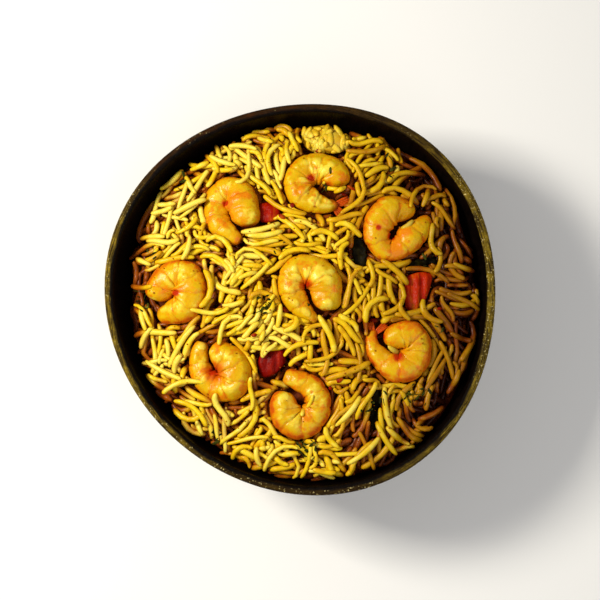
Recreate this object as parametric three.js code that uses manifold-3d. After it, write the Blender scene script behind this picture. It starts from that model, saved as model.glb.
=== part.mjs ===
// Bowl of shrimp biryani: a polished half coconut shell filled with a domed heap of long yellow rice,
// eight curled shrimps, a lump of masala rice, tomato pieces and wilted herb leaves lying on it.
// Millimetres, +Z up, the bowl stands on z = 0 and its outline is centred on the Z axis.
import * as THREE from "three";
import { mergeVertices } from "three/addons/utils/BufferGeometryUtils.js";
import Module from "manifold-3d";

const wasm = await Module();
wasm.setup();

const rad = THREE.MathUtils.degToRad;
const lerp = THREE.MathUtils.lerp;
const smooth = THREE.MathUtils.smoothstep;

// ---------------------------------------------------------------- driving sizes
const GAP = 0.34; // clear space between neighbouring solids

// coconut shell: an ellipsoid cut level at the rim and ground flat underneath
const SHELL_RADIUS = 65.3;
const SHELL_DEPTH = 56;
const SHELL_INNER_RADIUS = 62.3;
const SHELL_INNER_DEPTH = 50.5;
const RIM_Z = 53.5;
const LIP_RISE = 1.3;
const SHELL_SIDES = 48;
const OUTER_LEVELS = [3.6, 9.6, 18, 29, 41];
const INNER_LEVELS = [44, 32, 18, 7];
// the rounded three-cornered outline of a coconut: waves round the rim
const LOBES = [
  { count: 2, amount: 0.0076, peak: rad(-55) },
  { count: 3, amount: 0.0216, peak: rad(49) },
  { count: 4, amount: 0.0048, peak: rad(-44) },
];

// heap of rice
const HEAP_TOP = 50.6;
const HEAP_EDGE = 40;
const HEAP_EDGE_LEAN = 3.8; // the edge lies lowest towards HEAP_LOW_SIDE
const HEAP_LOW_SIDE = rad(135);
const HEAP_ROUND = 2.7;
const HEAP_LUMP = 0.8;
const CORE_SIDES = 32;
const CORE_RINGS = [0.13, 0.28, 0.43, 0.57, 0.7, 0.81, 0.91, 1];
const CORE_GAP = 0.46;

// grains of rice
const GRAIN_COUNT = 137;
const GRAIN_LENGTH = [11.5, 14.5];
const GRAIN_RADIUS = [1.08, 1.26];
const GRAIN_BEND = 0.85; // turn from end to end, radians
const GRAIN_SIDES = 5;
const GRAIN_RINGS = 4;
const GRAIN_TRIES = 26;
const GRAIN_ACROSS = 0.1; // share that lies over its neighbours
const GRAIN_CHOICES = [[1, 0], [1, 0.35], [1, -0.35], [1, 0.8], [1, -0.8], [0.75, 0], [0.75, 0.6], [0.75, 1.3], [0.55, 0], [0.55, 1.2]];

// shrimps: [x, y, radius] along the body from the blunt head end to the tail
const BODY_FLAT = 0.9;
const BODY_SIDES = 8;
const SHRIMPS = [
  [[-17.3, 23.6, 4.1], [-17.8, 28.6, 4.3], [-19.5, 34.8, 4.3], [-23.7, 37.2, 3.9], [-27.9, 34.8, 3.5],
    [-29, 29.8, 3.2], [-27.7, 24.6, 3.2], [-23.9, 21.4, 2.9], [-19.6, 18.8, 2.3]],
  [[12.8, 37.3, 3.9], [11.9, 42, 4.3], [7.3, 45, 3.9], [1.7, 44.4, 3.8], [-1.5, 39.8, 3.8],
    [-0.3, 34.2, 3.7], [4.7, 31.4, 3.1], [8.9, 30.9, 2.5], [12.6, 31.1, 1.6]],
  [[38.4, 29, 2.6], [34.6, 29.8, 3.6], [29.8, 29.8, 4.3], [25.7, 25.5, 4.1], [25, 19.5, 3.5],
    [28.5, 15, 2.9], [33.3, 16, 3.1], [37.4, 19.8, 4], [40.9, 24, 3.3], [43, 27.6, 1.9]],
  [[-48.6, -0.6, 4], [-46.4, 4.6, 4.4], [-42.2, 8.4, 4.1], [-37, 7.4, 4.3], [-35.1, 1.8, 4.4],
    [-38, -3.9, 4.2], [-42.7, -5.1, 3.6], [-47.2, -5.5, 2.7]],
  [[9.3, -4.8, 4], [9.2, -0.2, 4.4], [8.7, 5.2, 4.7], [4.3, 9.4, 4.1], [-1, 9.4, 3.9],
    [-3.8, 5.2, 3.5], [-2.9, 0.2, 3.4], [0.6, -4.4, 3], [5.4, -8.7, 2.2]],
  [[-29.4, -17.2, 3.3], [-25.5, -18.9, 4.1], [-21, -22.8, 4.5], [-21.6, -29.1, 4.6], [-27.2, -30.4, 3.8],
    [-32.2, -27, 3.4], [-33.8, -21.5, 3], [-32.6, -14.5, 2.4]],
  [[-4.2, -31.4, 3.5], [-5.4, -35.5, 4.5], [-4, -40.6, 4.6], [0.7, -42.6, 4.4], [5.2, -39.2, 4],
    [6.4, -34.2, 3.7], [4.1, -29.7, 3.5], [-0.3, -27.6, 3.2], [-5.3, -26, 2.8]],
  [[28.9, -16.2, 3.2], [32.3, -12.9, 4.2], [37, -12.8, 4.6], [39.4, -17.5, 4.1], [36.7, -22.8, 4.4],
    [31.7, -24.2, 4.1], [27, -21.3, 3.2], [23.9, -16.8, 2.5], [23.7, -13.4, 1.9], [24.9, -10.9, 1.2]],
];
// tail fans that show: [shrimp, fin centre x, y, length, width, heading]
const TAIL_FINS = [
  [2, 13.9, 32.1, 6.6, 2.8, rad(19)],
  [2, 12.4, 29.6, 5, 2.8, rad(-47)],
  [8, 26.8, -10.4, 5.8, 2.4, rad(40)],
  [8, 23.7, -10.2, 4.8, 2.2, rad(108)],
];
const FIN_THICK = 1.3;

// tomato pieces: outline corners, thickness, tilt about x and y
const TOMATOES = [
  { edge: [[-13.4, 32], [-7.6, 32], [-6.6, 28.4], [-7.8, 25.8], [-13.2, 25.6]], thick: 3.6, rib: 0.2 },
  { edge: [[36, 7.4], [40, 8.6], [43.9, 8], [43.4, 3.6], [41.2, -1.8], [37.4, -6.2], [34.7, -2], [34.2, 3.6]],
    thick: 4.2, rib: 0.6 },
  { edge: [[-11.6, -17.6], [-5.2, -17.4], [-4.8, -21.2], [-8.6, -25.6], [-12.2, -26.4], [-14, -21.8]],
    thick: 4, rib: 0.3 },
];

// lump of rice stuck together with masala
const LUMP = { x: 8.9, y: 54.5, length: 17.6, width: 10.6, height: 8.4, lean: 0.4, heading: rad(-6), knob: 0.13 };

// herb leaves: points along the midrib, width, wave height
const LEAVES = [
  { rib: [[19, 20.3], [19.6, 16.5], [20.2, 12.5], [21.3, 9.4]], width: 4.6, wave: 0.5 },
  { rib: [[35.4, 10.9], [39, 11.6], [43, 12.9], [46.4, 12.2]], width: 2.6, wave: 0.6 },
  { rib: [[25.3, -29.6], [25.1, -34], [24.7, -38.4], [24.3, -43]], width: 3.4, wave: 0.7 },
  { rib: [[-52.4, 3.2], [-53, 0.4], [-52.6, -2.4], [-51.2, -5]], width: 2.4, wave: 0.4 },
  { rib: [[-13.4, -3.4], [-11, -2.4], [-8.6, -0.8]], width: 2.6, wave: 0.35 },
  { rib: [[-1.4, -49], [1, -49.8], [3.6, -51.4]], width: 3, wave: 0.4 },
];
const LEAF_THICK = 0.6;
const LEAF_CELLS = [6, 1];

// ---------------------------------------------------------------- helpers
function seededRandom(seed) {
  let state = seed >>> 0;
  return () => {
    state = (Math.imul(state ^ (state >>> 15), 2246822519) + 0x9e3779b9) >>> 0;
    let t = Math.imul(state ^ (state >>> 13), 3266489917);
    t ^= t >>> 16;
    return (t >>> 0) / 4294967296;
  };
}

// A closed geometry as a solid, with its seam and pole points joined and its faces outward.
function toSolid(geometry) {
  const bare = new THREE.BufferGeometry();
  bare.setAttribute("position", geometry.getAttribute("position"));
  if (geometry.index) bare.setIndex(geometry.index);
  const merged = mergeVertices(bare, 1e-4);
  const source = merged.index.array;
  const faces = [];
  for (let i = 0; i < source.length; i += 3) {
    const [a, b, c] = [source[i], source[i + 1], source[i + 2]];
    if (a !== b && b !== c && c !== a) faces.push(a, b, c);
  }
  const build = (list) =>
    new wasm.Manifold(
      new wasm.Mesh({
        numProp: 3,
        vertProperties: new Float32Array(merged.attributes.position.array),
        triVerts: new Uint32Array(list),
      }),
    );
  const made = build(faces);
  if (made.volume() >= 0) return made;
  for (let i = 0; i < faces.length; i += 3) [faces[i + 1], faces[i + 2]] = [faces[i + 2], faces[i + 1]];
  return build(faces);
}

function toGeometry(solid) {
  const mesh = solid.getMesh();
  const points = new Float32Array(mesh.numVert * 3);
  for (let i = 0; i < mesh.numVert; i++)
    points.set(mesh.vertProperties.subarray(i * mesh.numProp, i * mesh.numProp + 3), i * 3);
  return new THREE.BufferGeometry()
    .setAttribute("position", new THREE.BufferAttribute(points, 3))
    .setIndex(new THREE.BufferAttribute(mesh.triVerts, 1));
}

// Moves every point of a geometry by a function of its place.
function displace(geometry, move) {
  const place = geometry.getAttribute("position");
  const p = new THREE.Vector3();
  for (let i = 0; i < place.count; i++) {
    p.fromBufferAttribute(place, i);
    move(p, i);
    place.setXYZ(i, p.x, p.y, p.z);
  }
  return geometry;
}

// ---------------------------------------------------------------- bowl
const lobe = (angle) =>
  LOBES.reduce((sum, { count, amount, peak }) => sum + amount * Math.cos(count * (angle - peak)), 1);

// The shell's own axis, placed so that the uneven outline is centred on the Z axis.
const AXIS = (() => {
  const box = new THREE.Box2();
  for (let i = 0; i < SHELL_SIDES; i++) {
    const angle = (i * 2 * Math.PI) / SHELL_SIDES;
    const r = SHELL_RADIUS * lobe(angle);
    box.expandByPoint(new THREE.Vector2(r * Math.cos(angle), r * Math.sin(angle)));
  }
  return box.getCenter(new THREE.Vector2()).negate();
})();

const ellipseRadius = (z, radius, depth) => radius * Math.sqrt(Math.max(0, 1 - ((RIM_Z - z) / depth) ** 2));

const INNER_PROFILE = [RIM_Z, ...INNER_LEVELS]
  .map((z) => new THREE.Vector2(ellipseRadius(z, SHELL_INNER_RADIUS, SHELL_INNER_DEPTH), z))
  .concat(new THREE.Vector2(0, RIM_Z - SHELL_INNER_DEPTH));

// Radius of the inner wall at a height, measured on the shell's flat facets.
function wallRadius(z) {
  for (let i = 0; i + 1 < INNER_PROFILE.length; i++) {
    const [upper, lower] = [INNER_PROFILE[i], INNER_PROFILE[i + 1]];
    if (z >= lower.y) return lerp(lower.x, upper.x, Math.min(1, (z - lower.y) / (upper.y - lower.y)));
  }
  return 0;
}

function bowlSolid() {
  const lipMiddle = (SHELL_RADIUS + SHELL_INNER_RADIUS) / 2;
  const lipHalf = (SHELL_RADIUS - SHELL_INNER_RADIUS) / 2;
  const lip = [32, 68, 112, 148].map(
    (turn) => new THREE.Vector2(lipMiddle + lipHalf * Math.cos(rad(turn)), RIM_Z + LIP_RISE * Math.sin(rad(turn))),
  );
  const profile = [
    new THREE.Vector2(0, 0),
    ...[0, ...OUTER_LEVELS, RIM_Z].map((z) => new THREE.Vector2(ellipseRadius(z, SHELL_RADIUS, SHELL_DEPTH), z)),
    ...lip,
    ...INNER_PROFILE,
  ];
  const geometry = new THREE.LatheGeometry(profile, SHELL_SIDES).rotateX(Math.PI / 2);
  displace(geometry, (p) => {
    const scale = lobe(Math.atan2(p.y, p.x));
    p.set(p.x * scale + AXIS.x, p.y * scale + AXIS.y, p.z);
  });
  return toSolid(geometry);
}

// ---------------------------------------------------------------- heap of rice
// Height of the smooth heap under everything that lies on it.
function heapHeight(x, y) {
  const angle = Math.atan2(y - AXIS.y, x - AXIS.x);
  const reach = Math.hypot(x - AXIS.x, y - AXIS.y) / (SHELL_INNER_RADIUS * lobe(angle));
  const edge = HEAP_EDGE - HEAP_EDGE_LEAN * Math.cos(angle - HEAP_LOW_SIDE);
  return edge + (HEAP_TOP - edge) * (1 - Math.min(1.05, reach) ** HEAP_ROUND);
}

// Distance to the nearest thing lying on the heap, from its centreline or middle.
function clearOfToppings(x, y) {
  let least = Infinity;
  const near = (px, py, radius) => {
    least = Math.min(least, Math.hypot(x - px, y - py) - radius);
  };
  SHRIMPS.forEach((body) => body.forEach(([px, py, radius]) => near(px, py, radius)));
  TOMATOES.forEach(({ edge }) => edge.forEach(([px, py]) => near(px, py, 2)));
  LEAVES.forEach(({ rib, width }) => rib.forEach(([px, py]) => near(px, py, width / 2)));
  near(LUMP.x, LUMP.y, LUMP.width / 2);
  return least;
}

const lumps = (x, y) =>
  HEAP_LUMP * (Math.sin(x / 5.3 + 1.1 * Math.sin(y / 7.1)) * Math.cos(y / 4.7 + 0.9 * Math.sin(x / 8.3)) + 0.2);

const coreHeight = (x, y) => heapHeight(x, y) + lumps(x, y) * smooth(clearOfToppings(x, y), 0.5, 5);

function coreSolid() {
  const levels = INNER_PROFILE.slice(2, -1);
  const rows = 1 + CORE_RINGS.length + levels.length + 1;
  const profile = Array.from({ length: rows }, (_, row) => new THREE.Vector2(row && row < rows - 1 ? 1 : 0, row));
  const geometry = new THREE.LatheGeometry(profile, CORE_SIDES).rotateX(Math.PI / 2);
  displace(geometry, (p) => {
    const row = Math.round(p.z);
    const angle = Math.atan2(p.y, p.x);
    const turn = new THREE.Vector2(Math.cos(angle), Math.sin(angle));
    const at = (radius) => [AXIS.x + turn.x * radius * lobe(angle), AXIS.y + turn.y * radius * lobe(angle)];
    if (row === 0) {
      p.set(AXIS.x, AXIS.y, coreHeight(AXIS.x, AXIS.y));
    } else if (row <= CORE_RINGS.length) {
      const rim = wallRadius(heapHeight(...at(SHELL_INNER_RADIUS))) - CORE_GAP;
      const [x, y] = at(rim * CORE_RINGS[row - 1]);
      p.set(x, y, coreHeight(x, y));
    } else if (row < rows - 1) {
      const { x: radius, y: z } = levels[row - 1 - CORE_RINGS.length];
      const out = new THREE.Vector2(radius / SHELL_INNER_RADIUS ** 2, (z - RIM_Z) / SHELL_INNER_DEPTH ** 2)
        .normalize()
        .multiplyScalar(-CORE_GAP);
      p.set(...at(radius + out.x), z + out.y);
    } else {
      p.set(AXIS.x, AXIS.y, RIM_Z - SHELL_INNER_DEPTH + CORE_GAP);
    }
  });
  return toSolid(geometry);
}

// ---------------------------------------------------------------- bodies along a curve
// A closed body of round section along a curve: a sphere whose poles are the curve's ends.
function bodyAlong(curve, radiusAt, flat, sides, stations) {
  const geometry = new THREE.SphereGeometry(1, sides, stations.length - 1);
  const up = new THREE.Vector3(0, 0, 1);
  const centre = new THREE.Vector3();
  const along = new THREE.Vector3();
  const place = geometry.getAttribute("position");
  const columns = sides + 1;
  displace(geometry, (p, i) => {
    const row = Math.floor(i / columns);
    const turn = ((i % columns) / sides) * 2 * Math.PI;
    const t = stations[row];
    const radius = row === 0 || row === stations.length - 1 ? 0 : radiusAt(t, row);
    curve.getPointAt(t, centre);
    curve.getTangentAt(t, along);
    const side = up.clone().cross(along).normalize();
    const top = along.clone().cross(side).normalize();
    p.copy(centre)
      .addScaledVector(side, radius * Math.cos(turn))
      .addScaledVector(top, radius * flat * Math.sin(turn));
  });
  place.needsUpdate = true;
  return geometry;
}

// Places of the rings along a shrimp: a rounded end, six overlapping segments, a narrow tail.
const SEGMENTS = 6;
const SEGMENT_START = 0.13;
const SEGMENT_END = 0.82;
const SHRIMP_STATIONS = (() => {
  const stations = [0, 0.022, 0.07];
  for (let k = 0; k < SEGMENTS; k++) {
    const from = lerp(SEGMENT_START, SEGMENT_END, k / SEGMENTS);
    const to = lerp(SEGMENT_START, SEGMENT_END, (k + 1) / SEGMENTS);
    stations.push(lerp(from, to, 0.06), lerp(from, to, 0.82));
  }
  return stations.concat([0.86, 0.94, 0.985, 1]);
})();

function shrimpSolid(body, index, grow = 0) {
  const points = body.map(([x, y, radius]) => new THREE.Vector3(x, y, heapHeight(x, y) + GAP + radius * BODY_FLAT));
  const curve = new THREE.CatmullRomCurve3(points, false, "centripetal");
  const radii = body.map(([, , radius]) => radius);
  const lengths = [0];
  for (let i = 1; i < points.length; i++) lengths.push(lengths[i - 1] + points[i].distanceTo(points[i - 1]));
  const whole = lengths[lengths.length - 1];
  const radiusAt = (t, row) => {
    const s = t * whole;
    let i = 1;
    while (i < lengths.length - 1 && lengths[i] < s) i++;
    const base = lerp(radii[i - 1], radii[i], (s - lengths[i - 1]) / (lengths[i] - lengths[i - 1]));
    const ends = Math.sqrt(smooth(t, -0.006, 0.075)) * Math.sqrt(smooth(1 - t, -0.012, 0.06));
    const inSegments = t > SEGMENT_START && t < SEGMENT_END;
    const overlap = inSegments ? ((row - 3) % 2 === 0 ? 0.955 : 1.045) : 0.98;
    return base * ends * overlap + grow;
  };
  let solid = toSolid(bodyAlong(curve, radiusAt, BODY_FLAT, BODY_SIDES, SHRIMP_STATIONS));
  TAIL_FINS.filter(([owner]) => owner === index + 1).forEach(([, x, y, length, width, heading]) => {
    const fin = new THREE.SphereGeometry(0.5, 7, 5)
      .scale(length + 2 * grow, width + 2 * grow, FIN_THICK + 2 * grow)
      .rotateZ(heading)
      .translate(x, y, heapHeight(x, y) + GAP + FIN_THICK * 0.8);
    solid = solid.add(toSolid(fin));
  });
  return solid;
}

// ---------------------------------------------------------------- tomato, lump and leaves
function tomatoSolid({ edge, thick, rib }) {
  const ring = new THREE.CatmullRomCurve3(
    edge.map(([x, y]) => new THREE.Vector3(x, y, 0)),
    true,
    "centripetal",
  ).getPoints(96);
  const middle = ring.reduce((sum, p) => sum.add(p), new THREE.Vector3()).divideScalar(ring.length);
  const reach = (angle) => {
    let best = ring[0];
    let least = Infinity;
    ring.forEach((p) => {
      const off = Math.abs(Math.atan2(Math.sin(angle - Math.atan2(p.y - middle.y, p.x - middle.x)),
        Math.cos(angle - Math.atan2(p.y - middle.y, p.x - middle.x))));
      if (off < least) [least, best] = [off, p];
    });
    return Math.hypot(best.x - middle.x, best.y - middle.y);
  };
  const geometry = new THREE.SphereGeometry(1, 12, 6).rotateX(Math.PI / 2);
  displace(geometry, (p) => {
    const angle = Math.atan2(p.y, p.x);
    const spread = Math.pow(Math.min(1, Math.hypot(p.x, p.y)), 0.62);
    const lift = Math.sign(p.z) * Math.pow(Math.abs(p.z), 0.7) * 0.5 * thick;
    const x = middle.x + Math.cos(angle) * reach(angle) * spread;
    const y = middle.y + Math.sin(angle) * reach(angle) * spread;
    const ridge = p.z > 0.2 ? rib * Math.cos((x - middle.x) * 1.9) * (1 - spread * spread) : 0;
    p.set(x, y, heapHeight(x, y) + GAP + thick * 0.5 + lift + ridge);
  });
  return toSolid(geometry);
}

function lumpSolid() {
  const geometry = new THREE.SphereGeometry(1, 14, 9).rotateX(Math.PI / 2);
  displace(geometry, (p) => {
    const swell =
      1 + LUMP.knob * Math.sin(5.1 * p.x + 1.3) * Math.cos(4.6 * p.y + 0.4) + LUMP.knob * 0.6 * Math.sin(7.3 * p.z + 4 * p.x);
    p.multiplyScalar(p.z > 0 ? swell : 1).multiply(new THREE.Vector3(LUMP.length, LUMP.width, LUMP.height).multiplyScalar(0.5));
    p.applyAxisAngle(new THREE.Vector3(0, 0, 1), LUMP.heading);
    p.x += LUMP.x;
    p.y += LUMP.y;
    p.z += lerp(heapHeight(LUMP.x, LUMP.y), heapHeight(p.x, p.y), LUMP.lean) + LUMP.height / 2;
  });
  return toSolid(geometry);
}

// Gives an open sheet a thickness; the underside is split into triangles like the top.
function thicken(sheet, thickness) {
  const place = sheet.getAttribute("position");
  const faces = Array.from(sheet.index.array);
  const count = place.count;
  const points = new Float32Array(count * 6);
  for (let i = 0; i < count; i++) {
    points.set([place.getX(i), place.getY(i), place.getZ(i) + thickness], i * 3);
    points.set([place.getX(i), place.getY(i), place.getZ(i)], (i + count) * 3);
  }
  const list = [...faces];
  const open = new Map();
  for (let i = 0; i < faces.length; i += 3) {
    const corner = [faces[i], faces[i + 1], faces[i + 2]];
    list.push(corner[0] + count, corner[2] + count, corner[1] + count);
    corner.forEach((a, k) => {
      const b = corner[(k + 1) % 3];
      if (open.has(`${b},${a}`)) open.delete(`${b},${a}`);
      else open.set(`${a},${b}`, [a, b]);
    });
  }
  open.forEach(([a, b]) => list.push(b, a, a + count, b, a + count, b + count));
  const solid = new THREE.BufferGeometry();
  solid.setAttribute("position", new THREE.BufferAttribute(points, 3));
  solid.setIndex(list);
  return solid;
}

function leafSolid({ rib, width, wave }) {
  const curve = new THREE.CatmullRomCurve3(rib.map(([x, y]) => new THREE.Vector3(x, y, 0)));
  const sheet = new THREE.PlaneGeometry(1, 1, ...LEAF_CELLS);
  displace(sheet, (p) => {
    const t = THREE.MathUtils.clamp(p.x + 0.5, 0, 1);
    const centre = curve.getPointAt(t);
    const along = curve.getTangentAt(t);
    const half = width * (0.16 + 0.84 * Math.pow(Math.sin(Math.PI * lerp(0.06, 0.94, t)), 0.7));
    const x = centre.x - along.y * p.y * half;
    const y = centre.y + along.x * p.y * half;
    const ripple = wave * (1 + Math.sin(t * 9 + p.y * 4) * 0.6 + Math.abs(p.y) * 1.1);
    p.set(x, y, heapHeight(x, y) + GAP + ripple);
  });
  return toSolid(thicken(sheet, LEAF_THICK));
}

// Lifts a thing straight up until it stands clear of the core.
function rest(core, solid) {
  let placed = solid;
  for (let step = 0; step < 40 && core.minGap(placed, 1) < GAP - 0.03; step++) placed = placed.translate([0, 0, 0.15]);
  return placed;
}

// ---------------------------------------------------------------- grains
function grainPoints(x, y, heading, length, bend, lift) {
  const points = [new THREE.Vector3()];
  for (let k = 0; k < 4; k++) {
    const turn = heading + bend * ((k - 1.5) / 3);
    points.push(points[k].clone().add(new THREE.Vector3(Math.cos(turn), Math.sin(turn), 0).multiplyScalar(length / 4)));
  }
  const middle = points[2].clone();
  return points.map((p) => {
    p.sub(middle).add(new THREE.Vector3(x, y, 0));
    p.z = coreHeight(p.x, p.y) + lift;
    return p;
  });
}

// A grain of cooked rice: a slim curved pod.
function grainSolid(points, radius) {
  const curve = new THREE.CatmullRomCurve3(points);
  const stations = Array.from({ length: GRAIN_RINGS + 1 }, (_, i) => 0.5 - 0.5 * Math.cos((Math.PI * i) / GRAIN_RINGS));
  return toSolid(bodyAlong(curve, (t) => radius * (t > 0.3 && t < 0.7 ? 1 : 0.9), 0.92, GRAIN_SIDES, stations));
}

// Direction in which neighbouring grains lie, so that they form loose bundles.
const drift = (x, y) => rad(35) + rad(75) * Math.sin(x / 17 + 0.6) + rad(65) * Math.cos(y / 14 - 0.4 + x / 31);

function insideWall(solid) {
  const mesh = solid.getMesh();
  for (let i = 0; i < mesh.numVert; i++) {
    const [x, y, z] = mesh.vertProperties.subarray(i * mesh.numProp, i * mesh.numProp + 3);
    const angle = Math.atan2(y - AXIS.y, x - AXIS.x);
    if (Math.hypot(x - AXIS.x, y - AXIS.y) > (wallRadius(Math.min(z, RIM_Z)) - CORE_GAP) * lobe(angle)) return false;
  }
  return true;
}

// Lays grains side by side in loose bundles, always in the widest free place; a few lie across others.
function scatterGrains(toppings) {
  const random = seededRandom(7411);
  const between = ([low, high]) => lerp(low, high, random());
  const grains = [];
  for (let attempt = 0; grains.length < GRAIN_COUNT && attempt < GRAIN_COUNT * 5; attempt++) {
    const across = random() < GRAIN_ACROSS;
    let best = null;
    let room = -1;
    for (let k = 0; k < GRAIN_TRIES; k++) {
      const angle = random() * 2 * Math.PI;
      const radius = Math.sqrt(random()) * (SHELL_INNER_RADIUS - 1.5) * lobe(angle);
      const spot = [AXIS.x + radius * Math.cos(angle), AXIS.y + radius * Math.sin(angle)];
      if (clearOfToppings(...spot) < 0.4) continue;
      const free = Math.min(99, ...grains.map((grain) => grain.distance(...spot)));
      if (free > room) [room, best] = [free, spot];
    }
    if (!best) continue;
    const heading = drift(...best) + rad(40) * (random() - 0.5);
    const bend = GRAIN_BEND * (random() < 0.5 ? -1 : 1) * lerp(0.2, 1, random());
    const lift = across ? lerp(1.2, 1.6, random()) : lerp(0.35, 0.75, random());
    const [length, radius] = [between(GRAIN_LENGTH), between(GRAIN_RADIUS)];
    for (const [share, turn] of GRAIN_CHOICES) {
      const points = grainPoints(...best, heading + turn, length * share, bend * share, lift);
      const solid = grainSolid(points, radius);
      if (!insideWall(solid)) continue;
      const near = grains.filter((grain) => grain.distance(...best) < length);
      if (!across && near.some((grain) => solid.minGap(grain.solid, 1) < 0.05)) continue;
      if (toppings.some((thing) => solid.minGap(thing, 1) < GAP)) continue;
      const distance = (x, y) => Math.min(...points.map((p) => Math.hypot(x - p.x, y - p.y)));
      grains.push({ solid, distance });
      break;
    }
  }
  return grains.map((grain) => grain.solid);
}

// ---------------------------------------------------------------- finishes and group
function finish(color, roughness, metalness = 0) {
  return new THREE.MeshStandardMaterial({ color, roughness, metalness });
}

const biryani = new THREE.Group();
biryani.name = "shrimp_biryani_bowl";

function addNode(name, solid, material) {
  const mesh = new THREE.Mesh(toGeometry(solid), material);
  mesh.name = name;
  biryani.add(mesh);
}

const core = coreSolid();
const shrimps = SHRIMPS.map((body, i) => rest(core, shrimpSolid(body, i)));
const tomatoes = TOMATOES.map((piece) => rest(core, tomatoSolid(piece)));
const leaves = LEAVES.map((leaf) => rest(core, leafSolid(leaf)));
const lump = rest(core, lumpSolid());
const toppings = [...shrimps, ...tomatoes, ...leaves, lump];
// a grain that touches nothing is left off
const rice = wasm.Manifold.union([core, ...scatterGrains(toppings)])
  .decompose()
  .reduce((most, body) => (body.volume() > most.volume() ? body : most));

addNode("bowl", bowlSolid(), finish(0x2b1a0d, 0.45));
addNode("rice", rice, finish(0xd8b32c, 0.55));
shrimps.forEach((solid, i) => addNode(`shrimp_${i + 1}`, solid, finish(0xf0a128, 0.4)));
tomatoes.forEach((solid, i) => addNode(`tomato_${i + 1}`, solid, finish(i === 1 ? 0xc8401a : 0x8c1408, 0.35)));
addNode("masala_lump", lump, finish(0xd6a81e, 0.6));
leaves.forEach((solid, i) => addNode(`leaf_${i + 1}`, solid, finish(0x1c2413, 0.5)));

export default biryani;
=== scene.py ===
"""Bowl of shrimp biryani: half a coconut shell heaped with long yellow rice, shrimps, tomato and herbs."""

import logging
import math
from dataclasses import dataclass, field
from enum import Enum
from typing import Sequence

import bmesh
import bpy
import numpy as np
from mathutils import Matrix, Vector

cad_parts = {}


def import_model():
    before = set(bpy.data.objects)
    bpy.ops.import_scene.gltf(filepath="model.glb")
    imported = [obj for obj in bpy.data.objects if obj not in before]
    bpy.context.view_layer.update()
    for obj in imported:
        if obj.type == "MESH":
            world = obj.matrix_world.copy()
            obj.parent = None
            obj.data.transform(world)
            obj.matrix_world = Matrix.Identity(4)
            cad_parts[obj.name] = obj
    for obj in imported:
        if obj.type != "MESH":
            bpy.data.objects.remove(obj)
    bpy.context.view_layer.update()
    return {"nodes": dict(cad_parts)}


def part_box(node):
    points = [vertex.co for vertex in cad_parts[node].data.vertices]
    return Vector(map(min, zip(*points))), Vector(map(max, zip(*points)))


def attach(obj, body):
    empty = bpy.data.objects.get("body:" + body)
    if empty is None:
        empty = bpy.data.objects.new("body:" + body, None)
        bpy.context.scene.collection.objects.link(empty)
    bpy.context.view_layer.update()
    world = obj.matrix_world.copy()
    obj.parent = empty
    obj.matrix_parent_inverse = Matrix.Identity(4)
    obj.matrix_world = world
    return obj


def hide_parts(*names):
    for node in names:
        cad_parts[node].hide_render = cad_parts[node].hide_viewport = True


LOG = logging.getLogger("biryani")
MM = 0.001
SPOT_SPREAD = 0.62  # spread of a round spot as a share of its radius
NO_ROOF = -1.0
NO_FLOOR = 999.0
Array = np.ndarray
Pair = tuple[float, float]
Triple = tuple[float, float, float]
Colour = Triple
Socket = bpy.types.NodeSocket
Material = bpy.types.Material
Piece = bpy.types.Object
Shape = bmesh.types.BMesh


class Attribute(Enum):
    """Names of the float attributes that pieces carry for their finishes."""

    TONE = "tone"
    # depth carries the painted shade of points deep in the heap
    DEPTH = "depth"
    BACK = "back"
    GROOVE = "groove"
    FIN = "fin"
    RIM = "rim"
    # knob carries the painted highlight of the shrimps' knobs
    KNOB_HIGHLIGHT = "knob"
    BELLY = "belly"
    STAIN = "stain"


class GrainKind(Enum):
    """Kinds of rice grain, each joined into one piece."""

    LEMON = "grains_lemon"
    GOLDEN = "grains_golden"
    DEEP = "grains_deep"


def held(values: Array) -> Array:
    """Holds values between 0 and 1."""
    return np.clip(values, 0.0, 1.0)


# ---------- sizes shared by the pieces
@dataclass(frozen=True)
class ShellForm:
    """Sizes of the coconut shell and of the heap inside it, in millimetres."""

    radius: float = 65.3
    depth: float = 56.0
    inner_radius: float = 62.3
    inner_depth: float = 50.5
    rim_z: float = 53.5
    lip_rise: float = 1.2
    axis_x: float = 1.183
    axis_y: float = 0.768
    lobes: tuple[tuple[int, float, float], ...] = ((2, 0.0076, -55.0), (3, 0.0216, 49.0), (4, 0.0048, -44.0))
    heap_top: float = 50.6
    heap_edge: float = 40.0
    heap_edge_lean: float = 3.8
    heap_low_side: float = 135.0
    heap_round: float = 2.7

    def lobe(self, angle: Array) -> Array:
        """Gives the shell's outline at an angle as a share of its mean radius."""
        waves = (part * np.cos(count * (angle - math.radians(peak))) for count, part, peak in self.lobes)
        return 1.0 + sum(waves)

    def wall_radius(self, z: Array) -> Array:
        """Gives the mean radius of the inner wall at a height."""
        drop = (self.rim_z - z) / self.inner_depth
        return self.inner_radius * np.sqrt(held(1.0 - drop**2))

    def polar(self, x: Array, y: Array) -> tuple[Array, Array]:
        """Gives a place's angle and distance about the shell's own axis."""
        return np.arctan2(y - self.axis_y, x - self.axis_x), np.hypot(x - self.axis_x, y - self.axis_y)

    def heap_height(self, x: Array, y: Array) -> Array:
        """Gives the height of the smooth heap that everything lies on.

        Args:
            x: Places to the right.
            y: Places away from the viewer.

        Returns:
            The heights in millimetres.
        """
        angle, distance = self.polar(x, y)
        reach = np.minimum(1.05, distance / (self.inner_radius * self.lobe(angle)))
        edge = self.heap_edge - self.heap_edge_lean * np.cos(angle - math.radians(self.heap_low_side))
        return edge + (self.heap_top - edge) * (1.0 - reach**self.heap_round)


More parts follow.
